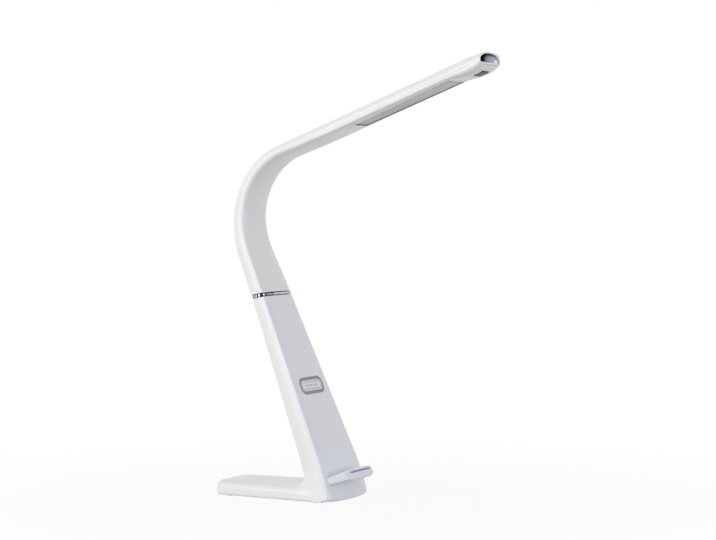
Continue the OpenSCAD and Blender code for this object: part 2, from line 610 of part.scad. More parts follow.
// --- neck and arm -----------------------------------------------------------------------
bend1_at = neck_straight;
bend2_at = bend1_at + low_bend_r * low_bend_turn * PI / 180;
arm_at = bend2_at + high_bend_r * high_bend_turn * PI / 180;
tip_at = arm_at + arm_len;
slim_at = mix(bend1_at, bend2_at, 0.6);
cap_depth = 3;
cap_wall = 1;
bend_edge = 5;
arm_edge = 4.4;
bend_q = 3;
arm_q = 5;
tip_q = 4;
flat_from = 50;
tip_drop = 1.4;
arm_p = 2.8;
function neck_heading(s) = lean - low_bend_turn * clamp01((s - bend1_at) / (bend2_at - bend1_at))
    - high_bend_turn * clamp01((s - bend2_at) / (arm_at - bend2_at));
function neck_point(s) = s <= bend1_at ? neck_start + s * up_post
    : s <= bend2_at ? root + bend1_rel + arc_move(low_bend_r, lean, lean - neck_heading(s))
    : s <= arm_at ? root + bend2_rel
        + arc_move(high_bend_r, lean - low_bend_turn, lean - low_bend_turn - neck_heading(s))
    : arm_start + (s - arm_at) * dir(arm_angle);
function neck_half(s) = lookup(s, [[0, ring_w], [slim_at, neck_w], [arm_at, neck_w], [tip_at, tip_w]]) / 2;
function neck_depth(s) = lookup(s, [[0, ring_t], [slim_at, neck_t], [arm_at, arm_t], [tip_at - 12, tip_t],
    [tip_at, tip_t - tip_drop]]);
function neck_edge(s) = lookup(s, [[0, ring_edge], [slim_at, bend_edge], [arm_at, bend_edge],
    [arm_at + flat_from, arm_edge], [tip_at - bulge_len, arm_edge], [tip_at, tip_edge]]);
function neck_face_q(s) = lookup(s, [[0, ring_q], [slim_at, bend_q], [arm_at, bend_q],
    [arm_at + flat_from, arm_q], [tip_at - bulge_len, arm_q], [tip_at - 12, tip_q]]);
function neck_shear(s) = tan(ring_tilt) * clamp01(1 - s / blend_len)
    + tip_shear * clamp01(1 - (tip_at - s) / blend_len);
function neck_wall(s) = s > tip_at - cap_depth - 1 ? cap_wall : wall;
// The underside dips to carry the key, and rises again at the cut end.
bulge_len = 30;
bulge_skew = 0.63;
tip_rise = 0.8;
function bulge(d) = d > bulge_len ? 0
    : bulge_h * sin(180 * pow(max(0, d) / bulge_len, bulge_skew)) - tip_rise * clamp01(1 - d / 8);
function neck_station(s) = let (h = neck_heading(s), k = neck_shear(s), dip = bulge(tip_at - s))
    [neck_point(s) - dip * (dir(h + 90) + k * dir(h)), h, k, neck_half(s), neck_depth(s) + dip, neck_edge(s) + dip,
        lookup(s, [[0, post_p], [arm_at, arm_p]]), neck_face_q(s), neck_wall(s)];
bend_steps = 8;
neck_steps = concat([0, 10, 22], [for (i = [0:bend_steps - 1]) mix(bend1_at, bend2_at, i / bend_steps)],
    [for (i = [0:bend_steps - 1]) mix(bend2_at, arm_at, i / bend_steps)],
    [arm_at, arm_at + 60, arm_at + 120],
    [for (d = [bulge_len, 24, 18, 14, 10, 7, cap_depth + 1.2, cap_depth + 0.9, 0]) tip_at - d]);
module at_arm() translate([arm_start[0], 0, arm_start[1]]) rotate([0, -arm_angle, 0]) children();
panel_at = arm_len - panel_from_tip - panel_len;
module panel_plan(grow) {
    near = panel_at - grow;
    far = panel_at + panel_len + grow;
    polygon([[near, -panel_w_in / 2 - grow], [far, -panel_w_out / 2 - grow],
        [far, panel_w_out / 2 + grow], [near, panel_w_in / 2 + grow]]);
}
key_at = arm_len - key_from_tip;
key_corner = 1.2;
module at_key() at_arm() translate([key_at, 0, -bulge(key_from_tip)]) children();
module key_plan(grow) round_plan(key_l + 2 * grow, key_w + 2 * grow, key_corner);
module neck_shell() color("white") swept_band([for (s = neck_steps) shell_ring(neck_station(s))]);
module neck_cover() color("whitesmoke") difference() {
    swept_band([for (s = neck_steps) cover_ring(neck_station(s))]);
    at_arm() translate([0, 0, -1]) linear_extrude(wall + 2) panel_plan(0);
    at_key() translate([0, 0, -1]) linear_extrude(wall + 2) key_plan(fit);
}
module neck_plug() color("gainsboro") at_neck() difference() {
    translate([0, 0, plug_from]) linear_extrude(plug_l)
        plan(neck_half(plug_from + plug_l) - wall - fit, neck_depth(plug_from + plug_l) - wall - fit,
            wall + fit + leaf_t + seam, 1);
    translate([-9.3, 0, 0]) cylinder(d = wire_d + 2.4, h = 30);
    leaf_screw_spots() cylinder(d = screw_d + 0.02, h = 7.4);
}
plug_from = 3.4;
plug_l = 11;
board_z = 4;
led_board_t = 1;
spreader_t = 1.2;
leg_rise = 0.4;
chip_t = 0.7;
leg_t = 1;
module led_board() color("snow") at_arm() translate([0, 0, board_z]) linear_extrude(led_board_t) panel_plan(0.2);
chip_gap = 6.5;
chip_l = 3.5;
chip_w = 2.8;
module led_chips() color("khaki") at_arm() for (x = [panel_at + 4:chip_gap:panel_at + panel_len - 4], side = [-1, 1])
    translate([x - chip_l / 2, side * panel_w_in / 4 - chip_w / 2, board_z - chip_t]) cube([chip_l, chip_w, chip_t]);
module heat_spreader() color("silver") at_arm() {
    translate([0, 0, board_z + led_board_t]) linear_extrude(spreader_t) panel_plan(leg_t + 0.4);
    translate([0, 0, wall + leg_rise]) linear_extrude(board_z + led_board_t + spreader_t - wall - leg_rise) difference() {
        panel_plan(leg_t + 0.4);
        panel_plan(0.4);
    }
}
module diffuser() color("lightgray") at_arm() translate([0, 0, diffuser_inset]) linear_extrude(diffuser_t) panel_plan(-fit);

// The key slides along the arm's depth; its flange stops it behind the cover.
key_proud = 0.3;
key_flange = 0.8;
key_seat = wall + seam + 1;
key_top = key_seat + 1;
module power_key() color("dimgray") at_key() difference() {
    union() {
        translate([0, 0, -key_proud]) linear_extrude(key_top + key_proud) key_plan(0);
        translate([0, 0, key_seat]) linear_extrude(1) key_plan(key_flange);
    }
    translate([0, 0, -key_proud - 1]) cylinder(d = key_light_d + 0.1, h = 1 + key_light_t);
}
key_light_d = 1.8;
key_light_t = 0.6;
module key_light() color("lightblue") at_key() translate([0, 0, -key_proud])
    cylinder(d = key_light_d, h = key_light_t);
switch_z = key_top + key_travel + seam;
switch_w = 6;
switch_h = 2.4;
key_board_l = 20;
key_board_w = 14;
module key_board() color("seagreen") at_key() {
    translate([key_from_tip - cap_depth - 1.5 - key_board_l, -key_board_w / 2, switch_z + switch_h])
        cube([key_board_l, key_board_w, 1]);
    translate([-switch_w / 2, -switch_w / 2, switch_z]) cube([switch_w, switch_w, switch_h]);
}

// The bright cap that closes the tip, dished on its face.
function cap_ring(d, cut) = let (st = neck_station(tip_at), back = st[0] - d * dir(arm_angle))
    placed([back, st[1], st[2]], concat(arch(st[3] - cut, st[4] - cut, st[5], st[6]),
        [for (i = [tray_steps - 1:-1:1]) lifted(tray(st[3] - cut, st[5] - cut, st[7]), cut)[i]]));
cap_cut = cap_wall + 0.1;
dish_depth = 1.5;
dish_steps = 4;
dish_slope = 3;
rim_back = 0.2;
rim_w = 0.6;
module end_cap() color("slategray") swept(concat(
    [cap_ring(cap_depth, cap_cut), cap_ring(rim_back, cap_cut), cap_ring(rim_back, cap_cut + rim_w)],
    [for (i = [1:dish_steps]) cap_ring(rim_back + dish_depth * sin(90 * i / dish_steps),
        cap_cut + rim_w + dish_slope * i / dish_steps)]));

// Leads: from the charger to the shaft, and from the neck's foot to the light.
function in_ring(x, z) = ring_front + x * dir(ring_lean) + z * dir(90 + ring_lean);
function on_neck(s, n) = let (q = neck_point(s) + n * dir(neck_heading(s) + 90)) [q[0], q[1], neck_heading(s)];
shaft_mouth = in_ring(-shaft_back, nut_z - nut_t - 0.5);
module post_harness() color("black") lead([
    on_post(board_up + board_l / 2 + 0.1, board_n + board_t + 2, 0),
    on_post(board_up + board_l / 2 + 8, board_n + board_t + 1.5, 0),
    on_post(post_len - 22, 9, 0),
    concat(shaft_mouth - 4 * dir(90 + ring_lean), [90 + ring_lean]),
    concat(shaft_mouth - 0.5 * dir(90 + ring_lean), [90 + ring_lean])], wire_d);
module arm_harness() color("black") lead(concat(
    [for (s = [5, 12, 20, bend1_at]) on_neck(s, 9.3)],
    [for (i = [1:5]) on_neck(mix(bend1_at, bend2_at, i / 5), mix(9.3, 8, i / 5))],
    [for (i = [1:5]) on_neck(mix(bend2_at, arm_at, i / 5), mix(8, 6.2, i / 5))],
    [on_neck(arm_at + 30, 6), on_neck(arm_at + panel_at - leg_t - 0.6, 6)]), wire_d);

base_shell();
front_panel();
base_cover();
ballast_plate();
rubber_feet();
base_screws();
dc_inlet();
inlet_lead();
charging_coil();
ferrite_sheet();
charging_board();
board_screws();
charge_mark();
phone_ledge();
ledge_light();
indicator_board();
post_cap();
swivel_bush();
thrust_washer();
spring_washer();
post_harness();
chrome_ring();
collar_plate();
swivel_shaft();
lock_nut();
stop_pin();
fold_pin();
hinge_leaf();
hinge_screws();
neck_plug();
neck_shell();
neck_cover();
heat_spreader();
led_board();
led_chips();
diffuser();
end_cap();
key_board();
arm_harness();
power_key();
key_light();
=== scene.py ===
"""Looks of a folding LED desk lamp: a foot with a phone ledge, a leaning post, a chrome ring and a lit arm.

Every size is in millimetres, as in the CAD source, and becomes metres only when a mesh is made. +X points
forward and +Z up. In the formulas a is an angle, p and q are powers, and n is a depth behind the front line.
"""
import logging
import math
from dataclasses import dataclass, field, replace
from enum import Enum
from functools import cache

import bmesh
import bpy
import numpy as np
from mathutils import Matrix, Vector


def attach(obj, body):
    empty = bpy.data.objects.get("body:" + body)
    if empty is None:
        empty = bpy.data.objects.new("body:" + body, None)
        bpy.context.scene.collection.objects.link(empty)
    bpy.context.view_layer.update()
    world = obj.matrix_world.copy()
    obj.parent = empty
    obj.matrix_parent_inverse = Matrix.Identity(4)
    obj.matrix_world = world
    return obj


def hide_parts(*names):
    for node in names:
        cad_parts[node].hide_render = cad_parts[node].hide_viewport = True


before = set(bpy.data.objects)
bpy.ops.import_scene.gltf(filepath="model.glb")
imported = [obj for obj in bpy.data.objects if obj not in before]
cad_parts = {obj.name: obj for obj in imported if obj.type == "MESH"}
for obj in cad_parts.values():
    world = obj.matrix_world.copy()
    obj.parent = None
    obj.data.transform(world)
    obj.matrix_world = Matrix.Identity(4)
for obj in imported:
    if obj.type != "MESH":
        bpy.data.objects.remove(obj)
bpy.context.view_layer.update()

Array = np.ndarray
Many = np.ndarray | float
Socket = bpy.types.NodeSocket
Value = bpy.types.NodeSocket | float | tuple[float, ...]
Piece = bpy.types.Object

LOG = logging.getLogger("lamp")
MM = 0.001
PHOTO_WIDTH = 716
SEAM = 0.1
EDGE_ROUNDING = 0.15
EDGE_ANGLE = 52.0
SAME_PLACE = 1e-6
WHITE_LIGHT = (1.0, 1.0, 1.0, 1.0)


# --- small formulas ---


def unit(angle: Many) -> Array:
    """The unit vectors (x, z) at angles above +X, in degrees."""
    a = np.deg2rad(angle)
    return np.stack([np.cos(a), np.sin(a)], axis=-1)


def arc_move(radius: float, angle: float, turn: Many) -> Array:
    """The move along a clockwise arc: radius times (sin a - sin(a - turn), cos(a - turn) - cos a)."""
    a, b = np.deg2rad(angle), np.deg2rad(angle - np.asarray(turn, float))
    return radius * np.stack([np.sin(a) - np.sin(b), np.cos(b) - np.cos(a)], axis=-1)


def blend(a: Many, b: Many, f: Many) -> Array:
    """The value that goes from a to b as f goes from 0 to 1."""
    return a + (b - a) * np.clip(f, 0.0, 1.0)


def upright(flat: Array, y: Many) -> Array:
    """Points (x, z) of the lamp's middle plane, moved across it by y."""
    return np.stack(np.broadcast_arrays(flat[..., 0], y, flat[..., 1]), axis=-1)


def superellipse(angle: Array, power: Many) -> tuple[Array, Array]:
    """The cosine and the sine to the power 2 / p, with their signs."""
    return tuple(np.sign(f) * np.abs(f) ** (2.0 / power) for f in (np.cos(angle), np.sin(angle)))


def quarter_ease(radius: Many, d: Array) -> Array:
    """How far a quarter round lies inside its edge at d from the end: r - sqrt(r^2 - (r - d)^2)."""
    inside = np.clip(radius - d, 0.0, radius)
    return radius - np.sqrt(radius * radius - inside * inside)


def circle(count: int) -> Array:
    """The angles of that many points round a circle, in radians."""
    return np.linspace(0.0, 2 * np.pi, count + 1)[:-1]


def outline(half: Array, corner: float, count: int, spread: Many = 1.0) -> Array:
    """The outline of a rounded rectangle about the origin.

    Points on a rectangle well outside are pulled in to it.

    Args:
        half: its half length and half width.
        corner: its corner radius.
        count: its number of points.
        spread: what the directions are divided by to place the outer points. A larger one crowds the corners.

    Returns:
        The (count, 2) points.
    """
    ray = np.stack([np.cos(circle(count)), np.sin(circle(count))], axis=-1)
    far = 2.0 * half * ray / np.max(np.abs(ray / spread), axis=1, keepdims=True)
    return pulled_in(far, half, corner)


def pulled_in(points: Array, half: Array, corner: float) -> Array:
    """The nearest points on that rounded rectangle: the core's own, moved out by the corner radius."""
    core = np.clip(points, corner - half, half - corner)
    return core + corner * outward(points, half, corner)


def outward(points: Array, half: Array, corner: float) -> Array:
    """The unit directions to points from the nearest ones of a rounded rectangle's core."""
    out = points - np.clip(points, corner - half, half - corner)
    return out / np.maximum(np.linalg.norm(out, axis=1, keepdims=True), 1e-9)


# --- meshes ---


def in_scene(name: str, data: bpy.types.ID) -> Piece:
    """Makes an object and puts it in the scene.

    Args:
        name: its name.
        data: its mesh, camera or light.

    Returns:
        The object.
    """
    obj = bpy.data.objects.new(name, data)
    bpy.context.scene.collection.objects.link(obj)
    return obj


@dataclass
class Grid:
    """A mesh that is gathered from grids of points, then merged into one surface."""

    points: list[Array] = field(default_factory=list)
    faces: list[Array] = field(default_factory=list)
    count: int = 0

    def add(self, rows: Array, closed: bool = False, skip: Array | None = None) -> Array:
        """Adds a grid of points with a face between each four neighbours.

        Args:
            rows: (N, M, 3) points in millimetres.
            closed: whether the last column joins the first.
            skip: (N - 1, M - 1) cells that get no face.

        Returns:
            The (N, M) numbers of its points.
        """
        n, m = rows.shape[:2]
        ids = self.count + np.arange(n * m).reshape(n, m)
        self.points.append(rows.reshape(-1, 3))
        self.count += n * m
        wide = np.concatenate([ids, ids[:, :1]], axis=1) if closed else ids
        quads = np.stack([wide[:-1, :-1], wide[:-1, 1:], wide[1:, 1:], wide[1:, :-1]], axis=-1)
        self.faces.append(quads[~skip] if skip is not None else quads.reshape(-1, 4))
        return ids

    def strip(self, line_a: Array, line_b: Array) -> None:
        """Joins two equally long lines of point numbers with faces."""
        self.faces.append(np.stack([line_a[:-1], line_a[1:], line_b[1:], line_b[:-1]], axis=-1))

    def loop(self, rings: Array) -> "Grid":
        """Adds rings of points that follow each other round to the first."""
        self.add(np.concatenate([rings, rings[:1]]), closed=True)
        return self

    def tube(self, rings: Array) -> "Grid":
        """Adds rings of points, and closes both ends with triangles to the middle of the last ring.

        Args:
            rings: (N, M, 3) points.

        Returns:
            The grid itself.
        """
        ids = self.add(rings, closed=True)
        for end in (-1, 0):
            self.points.append(rings[end].mean(axis=0, keepdims=True))
            middle = np.full(rings.shape[1], self.count)
            self.faces.append(np.stack([ids[end], np.roll(ids[end], -1), middle], axis=-1))
            self.count += 1
        return self

    def band(self, outer: Array, inner: Array) -> "Grid":
        """Adds a walled shell.

        Each row goes along the outer line and back along the inner one. Strips close the first and last row.

        Args:
            outer: (N, M, 3) points of the outer surface.
            inner: (N, M, 3) points of the inner surface.

        Returns:
            The grid itself.
        """
        ids = self.add(np.concatenate([outer, inner[:, ::-1]], axis=1), closed=True)
        m = outer.shape[1]
        for row in (ids[0], ids[-1]):
            self.strip(row[:m], row[m:][::-1])
        return self

    def object(self, name: str) -> Piece:
        """Makes the Blender object, in metres.

        Args:
            name: the object's name.

        Returns:
            The object.
        """
        mesh = bpy.data.meshes.new(name)
        points = np.concatenate(self.points) * MM
        mesh.from_pydata(points.tolist(), [], [f for part in self.faces for f in part.tolist()])
        return in_scene(name, mesh)

    def piece(self, name: str, body: str, finish: "Finish", slot: str, *replaces: str,
              sharp: float = 38.0) -> Piece:
        """Makes a piece of the lamp: its points merged, its faces pointing outwards, and its finish on it.

        Args:
            name: the piece's name.
            body: the CAD body that it rides on.
            finish: its finish.
            slot: the name of a material slot; not used.
            replaces: the CAD nodes that it stands for.
            sharp: the angle above which an edge stays sharp, in degrees.

        Returns:
            The piece.
        """
        obj = self.object(name)
        merged = bmesh.new()
        merged.from_mesh(obj.data)
        bmesh.ops.remove_doubles(merged, verts=merged.verts, dist=SAME_PLACE)
        bmesh.ops.dissolve_degenerate(merged, edges=merged.edges, dist=SAME_PLACE / 10)
        bmesh.ops.recalc_face_normals(merged, faces=merged.faces)
        merged.to_mesh(obj.data)
        merged.free()
        obj.data.shade_smooth()
        obj.data.set_sharp_from_angle(angle=math.radians(sharp))
        obj.data.materials.append(finish.material())
        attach(obj, body)
        if replaces:
            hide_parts(*replaces)
        return obj


def soften(piece: Piece) -> Piece:
    """Rounds the sharp edges of a piece.

    Args:
        piece: the piece.

    Returns:
        The same piece.
    """
    edge = piece.modifiers.new("rounded_edges", "BEVEL")
    edge.width = EDGE_ROUNDING * MM
    edge.segments = 2
    edge.limit_method = "ANGLE"
    edge.angle_limit = math.radians(EDGE_ANGLE)
    edge.harden_normals = True
    return piece


# --- finishes ---


@dataclass
class Nodes:
    """A node tree that is being filled, in which a value is a constant or another node's socket."""

    tree: bpy.types.NodeTree

    def feed(self, inputs: bpy.types.bpy_prop_collection, values: dict[str | int, Value]) -> None:
        """Sets or links inputs.

        Args:
            inputs: the node's inputs.
            values: the value for each name or number.
        """
        for label, value in values.items():
            if isinstance(value, Socket):
                self.tree.links.new(value, inputs[label])
            else:
                inputs[label].default_value = value

    def node(self, kind: str, values: dict[str | int, Value], **settings: str | bpy.types.NodeTree) -> Socket:
        """Adds a node.

        Args:
            kind: its type, without the word ShaderNode.
            values: the value for each input.
            settings: its other settings.

        Returns:
            Its outputs.
        """
        made = self.tree.nodes.new("ShaderNode" + kind)
        for label, setting in settings.items():
            setattr(made, label, setting)
        self.feed(made.inputs, values)
        return made.outputs

    def noise(self, scale: Value, place: Socket, detail: float = 3.0, rough: float = 0.5) -> Socket:
        """The value of a noise texture, which lies around 0.5."""
        values = {"Scale": scale, "Vector": place, "Detail": detail, "Roughness": rough}
        return self.node("TexNoise", values)["Fac"]

    def stretched(self, place: Socket, scale: tuple[float, float, float]) -> Socket:
        """The coordinates times a scale for each axis."""
        return self.node("Mapping", {"Vector": place, "Scale": scale})["Vector"]

    def span(self, value: Socket, low: Value, high: Value, start: Value = 0.3, end: Value = 0.7) -> Socket:
        """The value, mapped so that start gives low and end gives high."""
        limits = {"From Min": start, "From Max": end, "To Min": low, "To Max": high}
        return self.node("MapRange", {"Value": value, **limits})["Result"]

    def calc(self, kind: str, a: Value, b: Value) -> Socket:
        """The result of an operation on two numbers."""
        return self.node("Math", {0: a, 1: b}, operation=kind)[0]

    def mixed(self, share: Socket, a: Value, b: Value) -> Socket:
        """The colour that goes from a to b as the share goes from 0 to 1."""
        return self.node("Mix", {"Factor": share, 6: a, 7: b}, data_type="RGBA")[2]

    def axis(self, place: Socket, name: str) -> Socket:
        """One axis of the coordinates."""
        return self.node("SeparateXYZ", {0: place})[name]


def new_group(name: str, inputs: dict[str, float | tuple[float, ...] | None], outputs: tuple[str, ...]
              ) -> tuple[Nodes, bpy.types.bpy_prop_collection, bpy.types.bpy_prop_collection]:
    """Makes an empty node group.

    Args:
        name: its name.
        inputs: the default of each input. None stands for a vector, and four numbers for a colour.
        outputs: the names of its outputs. Color is a colour, and the others are numbers.

    Returns:
        Its nodes, the sockets that its inputs give, and the sockets that its outputs take.
    """
    tree = bpy.data.node_groups.new(name, "ShaderNodeTree")
    for label, default in inputs.items():
        kind = "Vector" if default is None else "Color" if isinstance(default, tuple) else "Float"
        socket = tree.interface.new_socket(label, in_out="INPUT", socket_type="NodeSocket" + kind)
        if default is not None:
            socket.default_value = default
    for label in outputs:
        kind = "Color" if label == "Color" else "Float"
        tree.interface.new_socket(label, in_out="OUTPUT", socket_type="NodeSocket" + kind)
    return Nodes(tree), tree.nodes.new("NodeGroupInput").outputs, tree.nodes.new("NodeGroupOutput").inputs


# Painted reflection on chrome: how far streaks shift its edge, the tone of the painted dark reflection, and
# the light tone of the painted glints.
REFLECTION_STREAK_SHIFT = 0.0022
PAINTED_DARK_REFLECTION_TONE = (0.012, 0.011, 0.016, 1.0)
PAINTED_GLINT_TONE = (0.88, 0.88, 0.90, 1.0)


@cache
def painted_reflection_group() -> bpy.types.NodeTree:
    """Painted reflection for bright chrome: a painted dark reflection on the lamp's right, then painted light
    further left.

    Right of one line it paints narrow bars of dark and light instead, which stand for glints. Noise scales
    are in features per metre.

    Returns:
        The group, with output Color.
    """
    nodes, source, result = new_group("painted_studio_reflection", {
        "Vector": None, "Color": WHITE_LIGHT, "Painted Dark End": -0.01, "Painted Light Start": 0.0, "Painted Glints Before": -1.0},
        ("Color",))
    across = nodes.axis(source["Vector"], "Y")
    # Painted reflection: dark on the lamp's right and light on its left across Y, with a streaky edge
    # between.
    reflection_streaks = nodes.noise(1.0, nodes.stretched(source["Vector"], (160.0, 700.0, 60.0)))
    shifted = nodes.calc("ADD", across, nodes.span(reflection_streaks, -REFLECTION_STREAK_SHIFT, REFLECTION_STREAK_SHIFT))
    share = nodes.span(shifted, 0.0, 1.0, source["Painted Dark End"], source["Painted Light Start"])
    plain = nodes.mixed(share, PAINTED_DARK_REFLECTION_TONE, source["Color"])
    # Painted glints: narrow bars of dark and light, right of one line.
    glint_noise = nodes.noise(1.0, nodes.stretched(source["Vector"], (420.0, 420.0, 0.0)), 1.0)
    painted_glints = nodes.mixed(nodes.span(glint_noise, 0.0, 1.0, 0.47, 0.53), PAINTED_DARK_REFLECTION_TONE, PAINTED_GLINT_TONE)
    bar_end = nodes.calc("ADD", source["Painted Glints Before"], REFLECTION_STREAK_SHIFT)
    near = nodes.span(across, 1.0, 0.0, source["Painted Glints Before"], bar_end)
    nodes.feed(result, {"Color": nodes.mixed(near, plain, painted_glints)})
    return nodes.tree


class Skin(Enum):
    """The kinds of surface that a finish may have."""

    MOULDED = "moulded_skin"
    METAL = "metal_skin"


@cache
def skin_group(skin: Skin) -> bpy.types.NodeTree:
    """The colour drift, the gloss and the relief of a kind of surface.

    A moulding is dulled in patches by handling, and has a fine grain on slow waves. Metal has cloudy stains
    and fine lines along one direction.

    Args:
        skin: the kind.

    Returns:
        The group, with outputs Color, Roughness and Height.
    """
    inputs = {"Vector": None, "Light Tone": WHITE_LIGHT, "Deep Tone": WHITE_LIGHT, "Gloss Low": 0.2,
              "Gloss High": 0.3}
    if skin is Skin.MOULDED:
        inputs["Grain Scale"] = 900.0
    nodes, source, result = new_group(skin.value, inputs, ("Color", "Roughness", "Height"))
    place = source["Vector"]
    if skin is Skin.MOULDED:
        cloud = nodes.noise(14.0, place, 4.0)
        worn, limits = nodes.noise(38.0, place, 6.0, 0.62), (0.38, 0.66)
        waves = nodes.calc("MULTIPLY", nodes.noise(22.0, place, 1.0), 0.2)
        height = nodes.calc("ADD", nodes.noise(source["Grain Scale"], place, 2.0), waves)
    else:
        cloud = nodes.noise(60.0, place, 5.0)
        height = nodes.noise(1.0, nodes.stretched(place, (600.0, 30.0, 600.0)), 4.0, 0.6)
        worn, limits = nodes.calc("MULTIPLY", nodes.calc("ADD", height, cloud), 0.5), (0.3, 0.7)
    nodes.feed(result, {
        "Color": nodes.mixed(nodes.span(cloud, 0.0, 1.0), source["Deep Tone"], source["Light Tone"]),
        "Roughness": nodes.span(worn, source["Gloss Low"], source["Gloss High"], *limits), "Height": height})
    return nodes.tree


@dataclass(frozen=True)
class Finish:
    """One finish: its colour and how far that drifts, its roughness, relief and coat, and its glow.

    The painted reflection is three places across the lamp, in metres: where the painted dark reflection ends
    in bright chrome, where painted light has fully taken over, and the line before which the painted glints
    show.
    """

    name: str
    colour: tuple[float, float, float]
    low_gloss: float
    high_gloss: float
    skin: Skin = Skin.MOULDED
    drift: float = 0.03
    relief: float = 0.00002
    grain: float = 900.0
    coat: float = 0.0
    glow: tuple[float, float, float] | None = None
    glow_strength: float = 0.0
    specular: float = 0.5
    edge_tint: float = 1.0
    painted_reflection: tuple[float, float, float] | None = None

    def tone(self, factor: float) -> tuple[float, float, float, float]:
        """The colour times a factor, with a full alpha."""
        return tuple(min(1.0, c * factor) for c in self.colour) + (1.0,)

    @cache
    def material(self) -> bpy.types.Material:
        """The finish's material, which is made once.

        Returns:
            A Principled material whose Base Color, Roughness and Normal come from the skin's group.
        """
        made = bpy.data.materials.new(self.name)
        made.use_nodes = True
        nodes = Nodes(made.node_tree)
        place = nodes.node("TexCoord", {})["Object"]
        values = {"Vector": place, "Light Tone": self.tone(1.0 + self.drift),
                  "Deep Tone": self.tone(1.0 - self.drift), "Gloss Low": self.low_gloss,
                  "Gloss High": self.high_gloss}
        if self.skin is Skin.MOULDED:
            values["Grain Scale"] = self.grain
        skin = nodes.node("Group", values, node_tree=skin_group(self.skin))
        colour = skin["Color"]
        # Chrome with a painted reflection gets it in its base colour: painted dark, painted light and painted
        # glints.
        if self.painted_reflection:
            limits = dict(zip(("Painted Dark End", "Painted Light Start", "Painted Glints Before"), self.painted_reflection))
            colour = nodes.node("Group", {"Vector": place, "Color": colour, **limits},
                                node_tree=painted_reflection_group())["Color"]
        bump = nodes.node("Bump", {"Distance": self.relief, "Strength": 1.0, "Height": skin["Height"]})
        shader = made.node_tree.nodes["Principled BSDF"].inputs
        nodes.feed(shader, {
            "Base Color": colour, "Roughness": skin["Roughness"], "Normal": bump["Normal"],
            "Metallic": float(self.skin is Skin.METAL), "Specular IOR Level": self.specular,
            "Specular Tint": (self.edge_tint,) * 3 + (1.0,), "Coat Weight": self.coat,
            "Coat Roughness": 0.04})
        if self.glow:
            nodes.feed(shader, {"Emission Color": (*self.glow, 1.0), "Emission Strength": self.glow_strength})
        return made


WHITE = Finish("gloss_white", (0.86, 0.86, 0.86), 0.27, 0.35, drift=0.01, relief=0.000001, grain=260.0,
               coat=0.05)
# Painted shade: a darker, bluer copy of the white, for the front face strip and the ledge, which lie in
# shade.
FACE_PAINTED_SHADE = replace(WHITE, name="gloss_white_painted_face_shade", colour=(0.80, 0.82, 0.885))
# Painted shade: a slightly darker, bluer copy of the white, for the neck's underside and the tip's lip.
NECK_PAINTED_SHADE = replace(WHITE, name="gloss_white_painted_neck_shade", colour=(0.83, 0.835, 0.865))
GREY_COVER = Finish("matt_grey", (0.62, 0.62, 0.63), 0.5, 0.62, relief=0.00004, grain=1400.0)
RUBBER = Finish("soft_rubber", (0.055, 0.055, 0.058), 0.75, 0.9, drift=0.15, relief=0.00005, grain=700.0)
BLACK = Finish("satin_black", (0.02, 0.02, 0.021), 0.35, 0.5, drift=0.2, relief=0.00003, grain=1200.0)
COPPER = Finish("enamelled_copper", (0.64, 0.31, 0.16), 0.25, 0.4, Skin.METAL, drift=0.15)
FERRITE = Finish("ferrite_sheet", (0.05, 0.05, 0.055), 0.6, 0.75, drift=0.2, relief=0.00004, grain=600.0)
BOARD = Finish("green_board", (0.02, 0.16, 0.07), 0.3, 0.45, drift=0.2, relief=0.00004, grain=300.0)
WHITE_BOARD = Finish("white_board", (0.82, 0.82, 0.80), 0.3, 0.45)
MARK = Finish("printed_grey", (0.235, 0.25, 0.26), 0.2, 0.3, drift=0.06, relief=0.000006)
MARK_LIGHT = Finish("printed_silver", (0.56, 0.585, 0.61), 0.2, 0.3, relief=0.000006)
LIGHT_LINE = Finish("light_line", (0.16, 0.15, 0.42), 0.2, 0.35, drift=0.25, relief=0.00001, grain=150.0,
                    glow=(0.22, 0.20, 0.75), glow_strength=0.12)
BRASS = Finish("turned_brass", (0.60, 0.45, 0.20), 0.25, 0.4, Skin.METAL, drift=0.08)
WASHER = Finish("slip_plastic", (0.80, 0.80, 0.75), 0.4, 0.5)
STEEL = Finish("zinc_steel", (0.60, 0.60, 0.61), 0.25, 0.42, Skin.METAL, drift=0.08)
# Painted reflections on chrome: the ring's is dark at its far right end with painted glints there, the rim
# has painted glints at its right end, and the dish's is dark on its right and light on its left.
RING_CHROME_PAINTED_REFLECTION = Finish("polished_ring_painted_reflection", (0.46, 0.46, 0.51), 0.05, 0.12, Skin.METAL, drift=0.12, relief=0.000002,
                     painted_reflection=(-0.0245, -0.008, -0.0245))
TIP_CHROME_PAINTED_GLINTS = Finish("tip_chrome_painted_glints", (0.55, 0.54, 0.60), 0.05, 0.12, Skin.METAL, drift=0.1, relief=0.000002,
                    painted_reflection=(-0.03, -0.025, -0.0155))
DARK_CHROME_PAINTED_REFLECTION = Finish("smoked_chrome_painted_reflection", (0.38, 0.41, 0.49), 0.24, 0.36, Skin.METAL, drift=0.12, relief=0.000004,
                     edge_tint=0.12, painted_reflection=(-0.0075, 0.0065, -1.0))
CAST = Finish("cast_metal", (0.42, 0.42, 0.44), 0.4, 0.55, Skin.METAL, drift=0.08)
ALUMINIUM = Finish("folded_aluminium", (0.70, 0.70, 0.72), 0.3, 0.42, Skin.METAL, drift=0.04)
PHOSPHOR = Finish("led_phosphor", (0.86, 0.72, 0.22), 0.2, 0.3, drift=0.06)
KEY_GREY = Finish("satin_key_grey", (0.045, 0.045, 0.048), 0.3, 0.42, drift=0.1, grain=1500.0, specular=0.12)
KEY_DOT = Finish("key_light", (0.40, 0.43, 0.48), 0.2, 0.3, drift=0.04, glow=(0.7, 0.8, 1.0),
                 glow_strength=0.1)
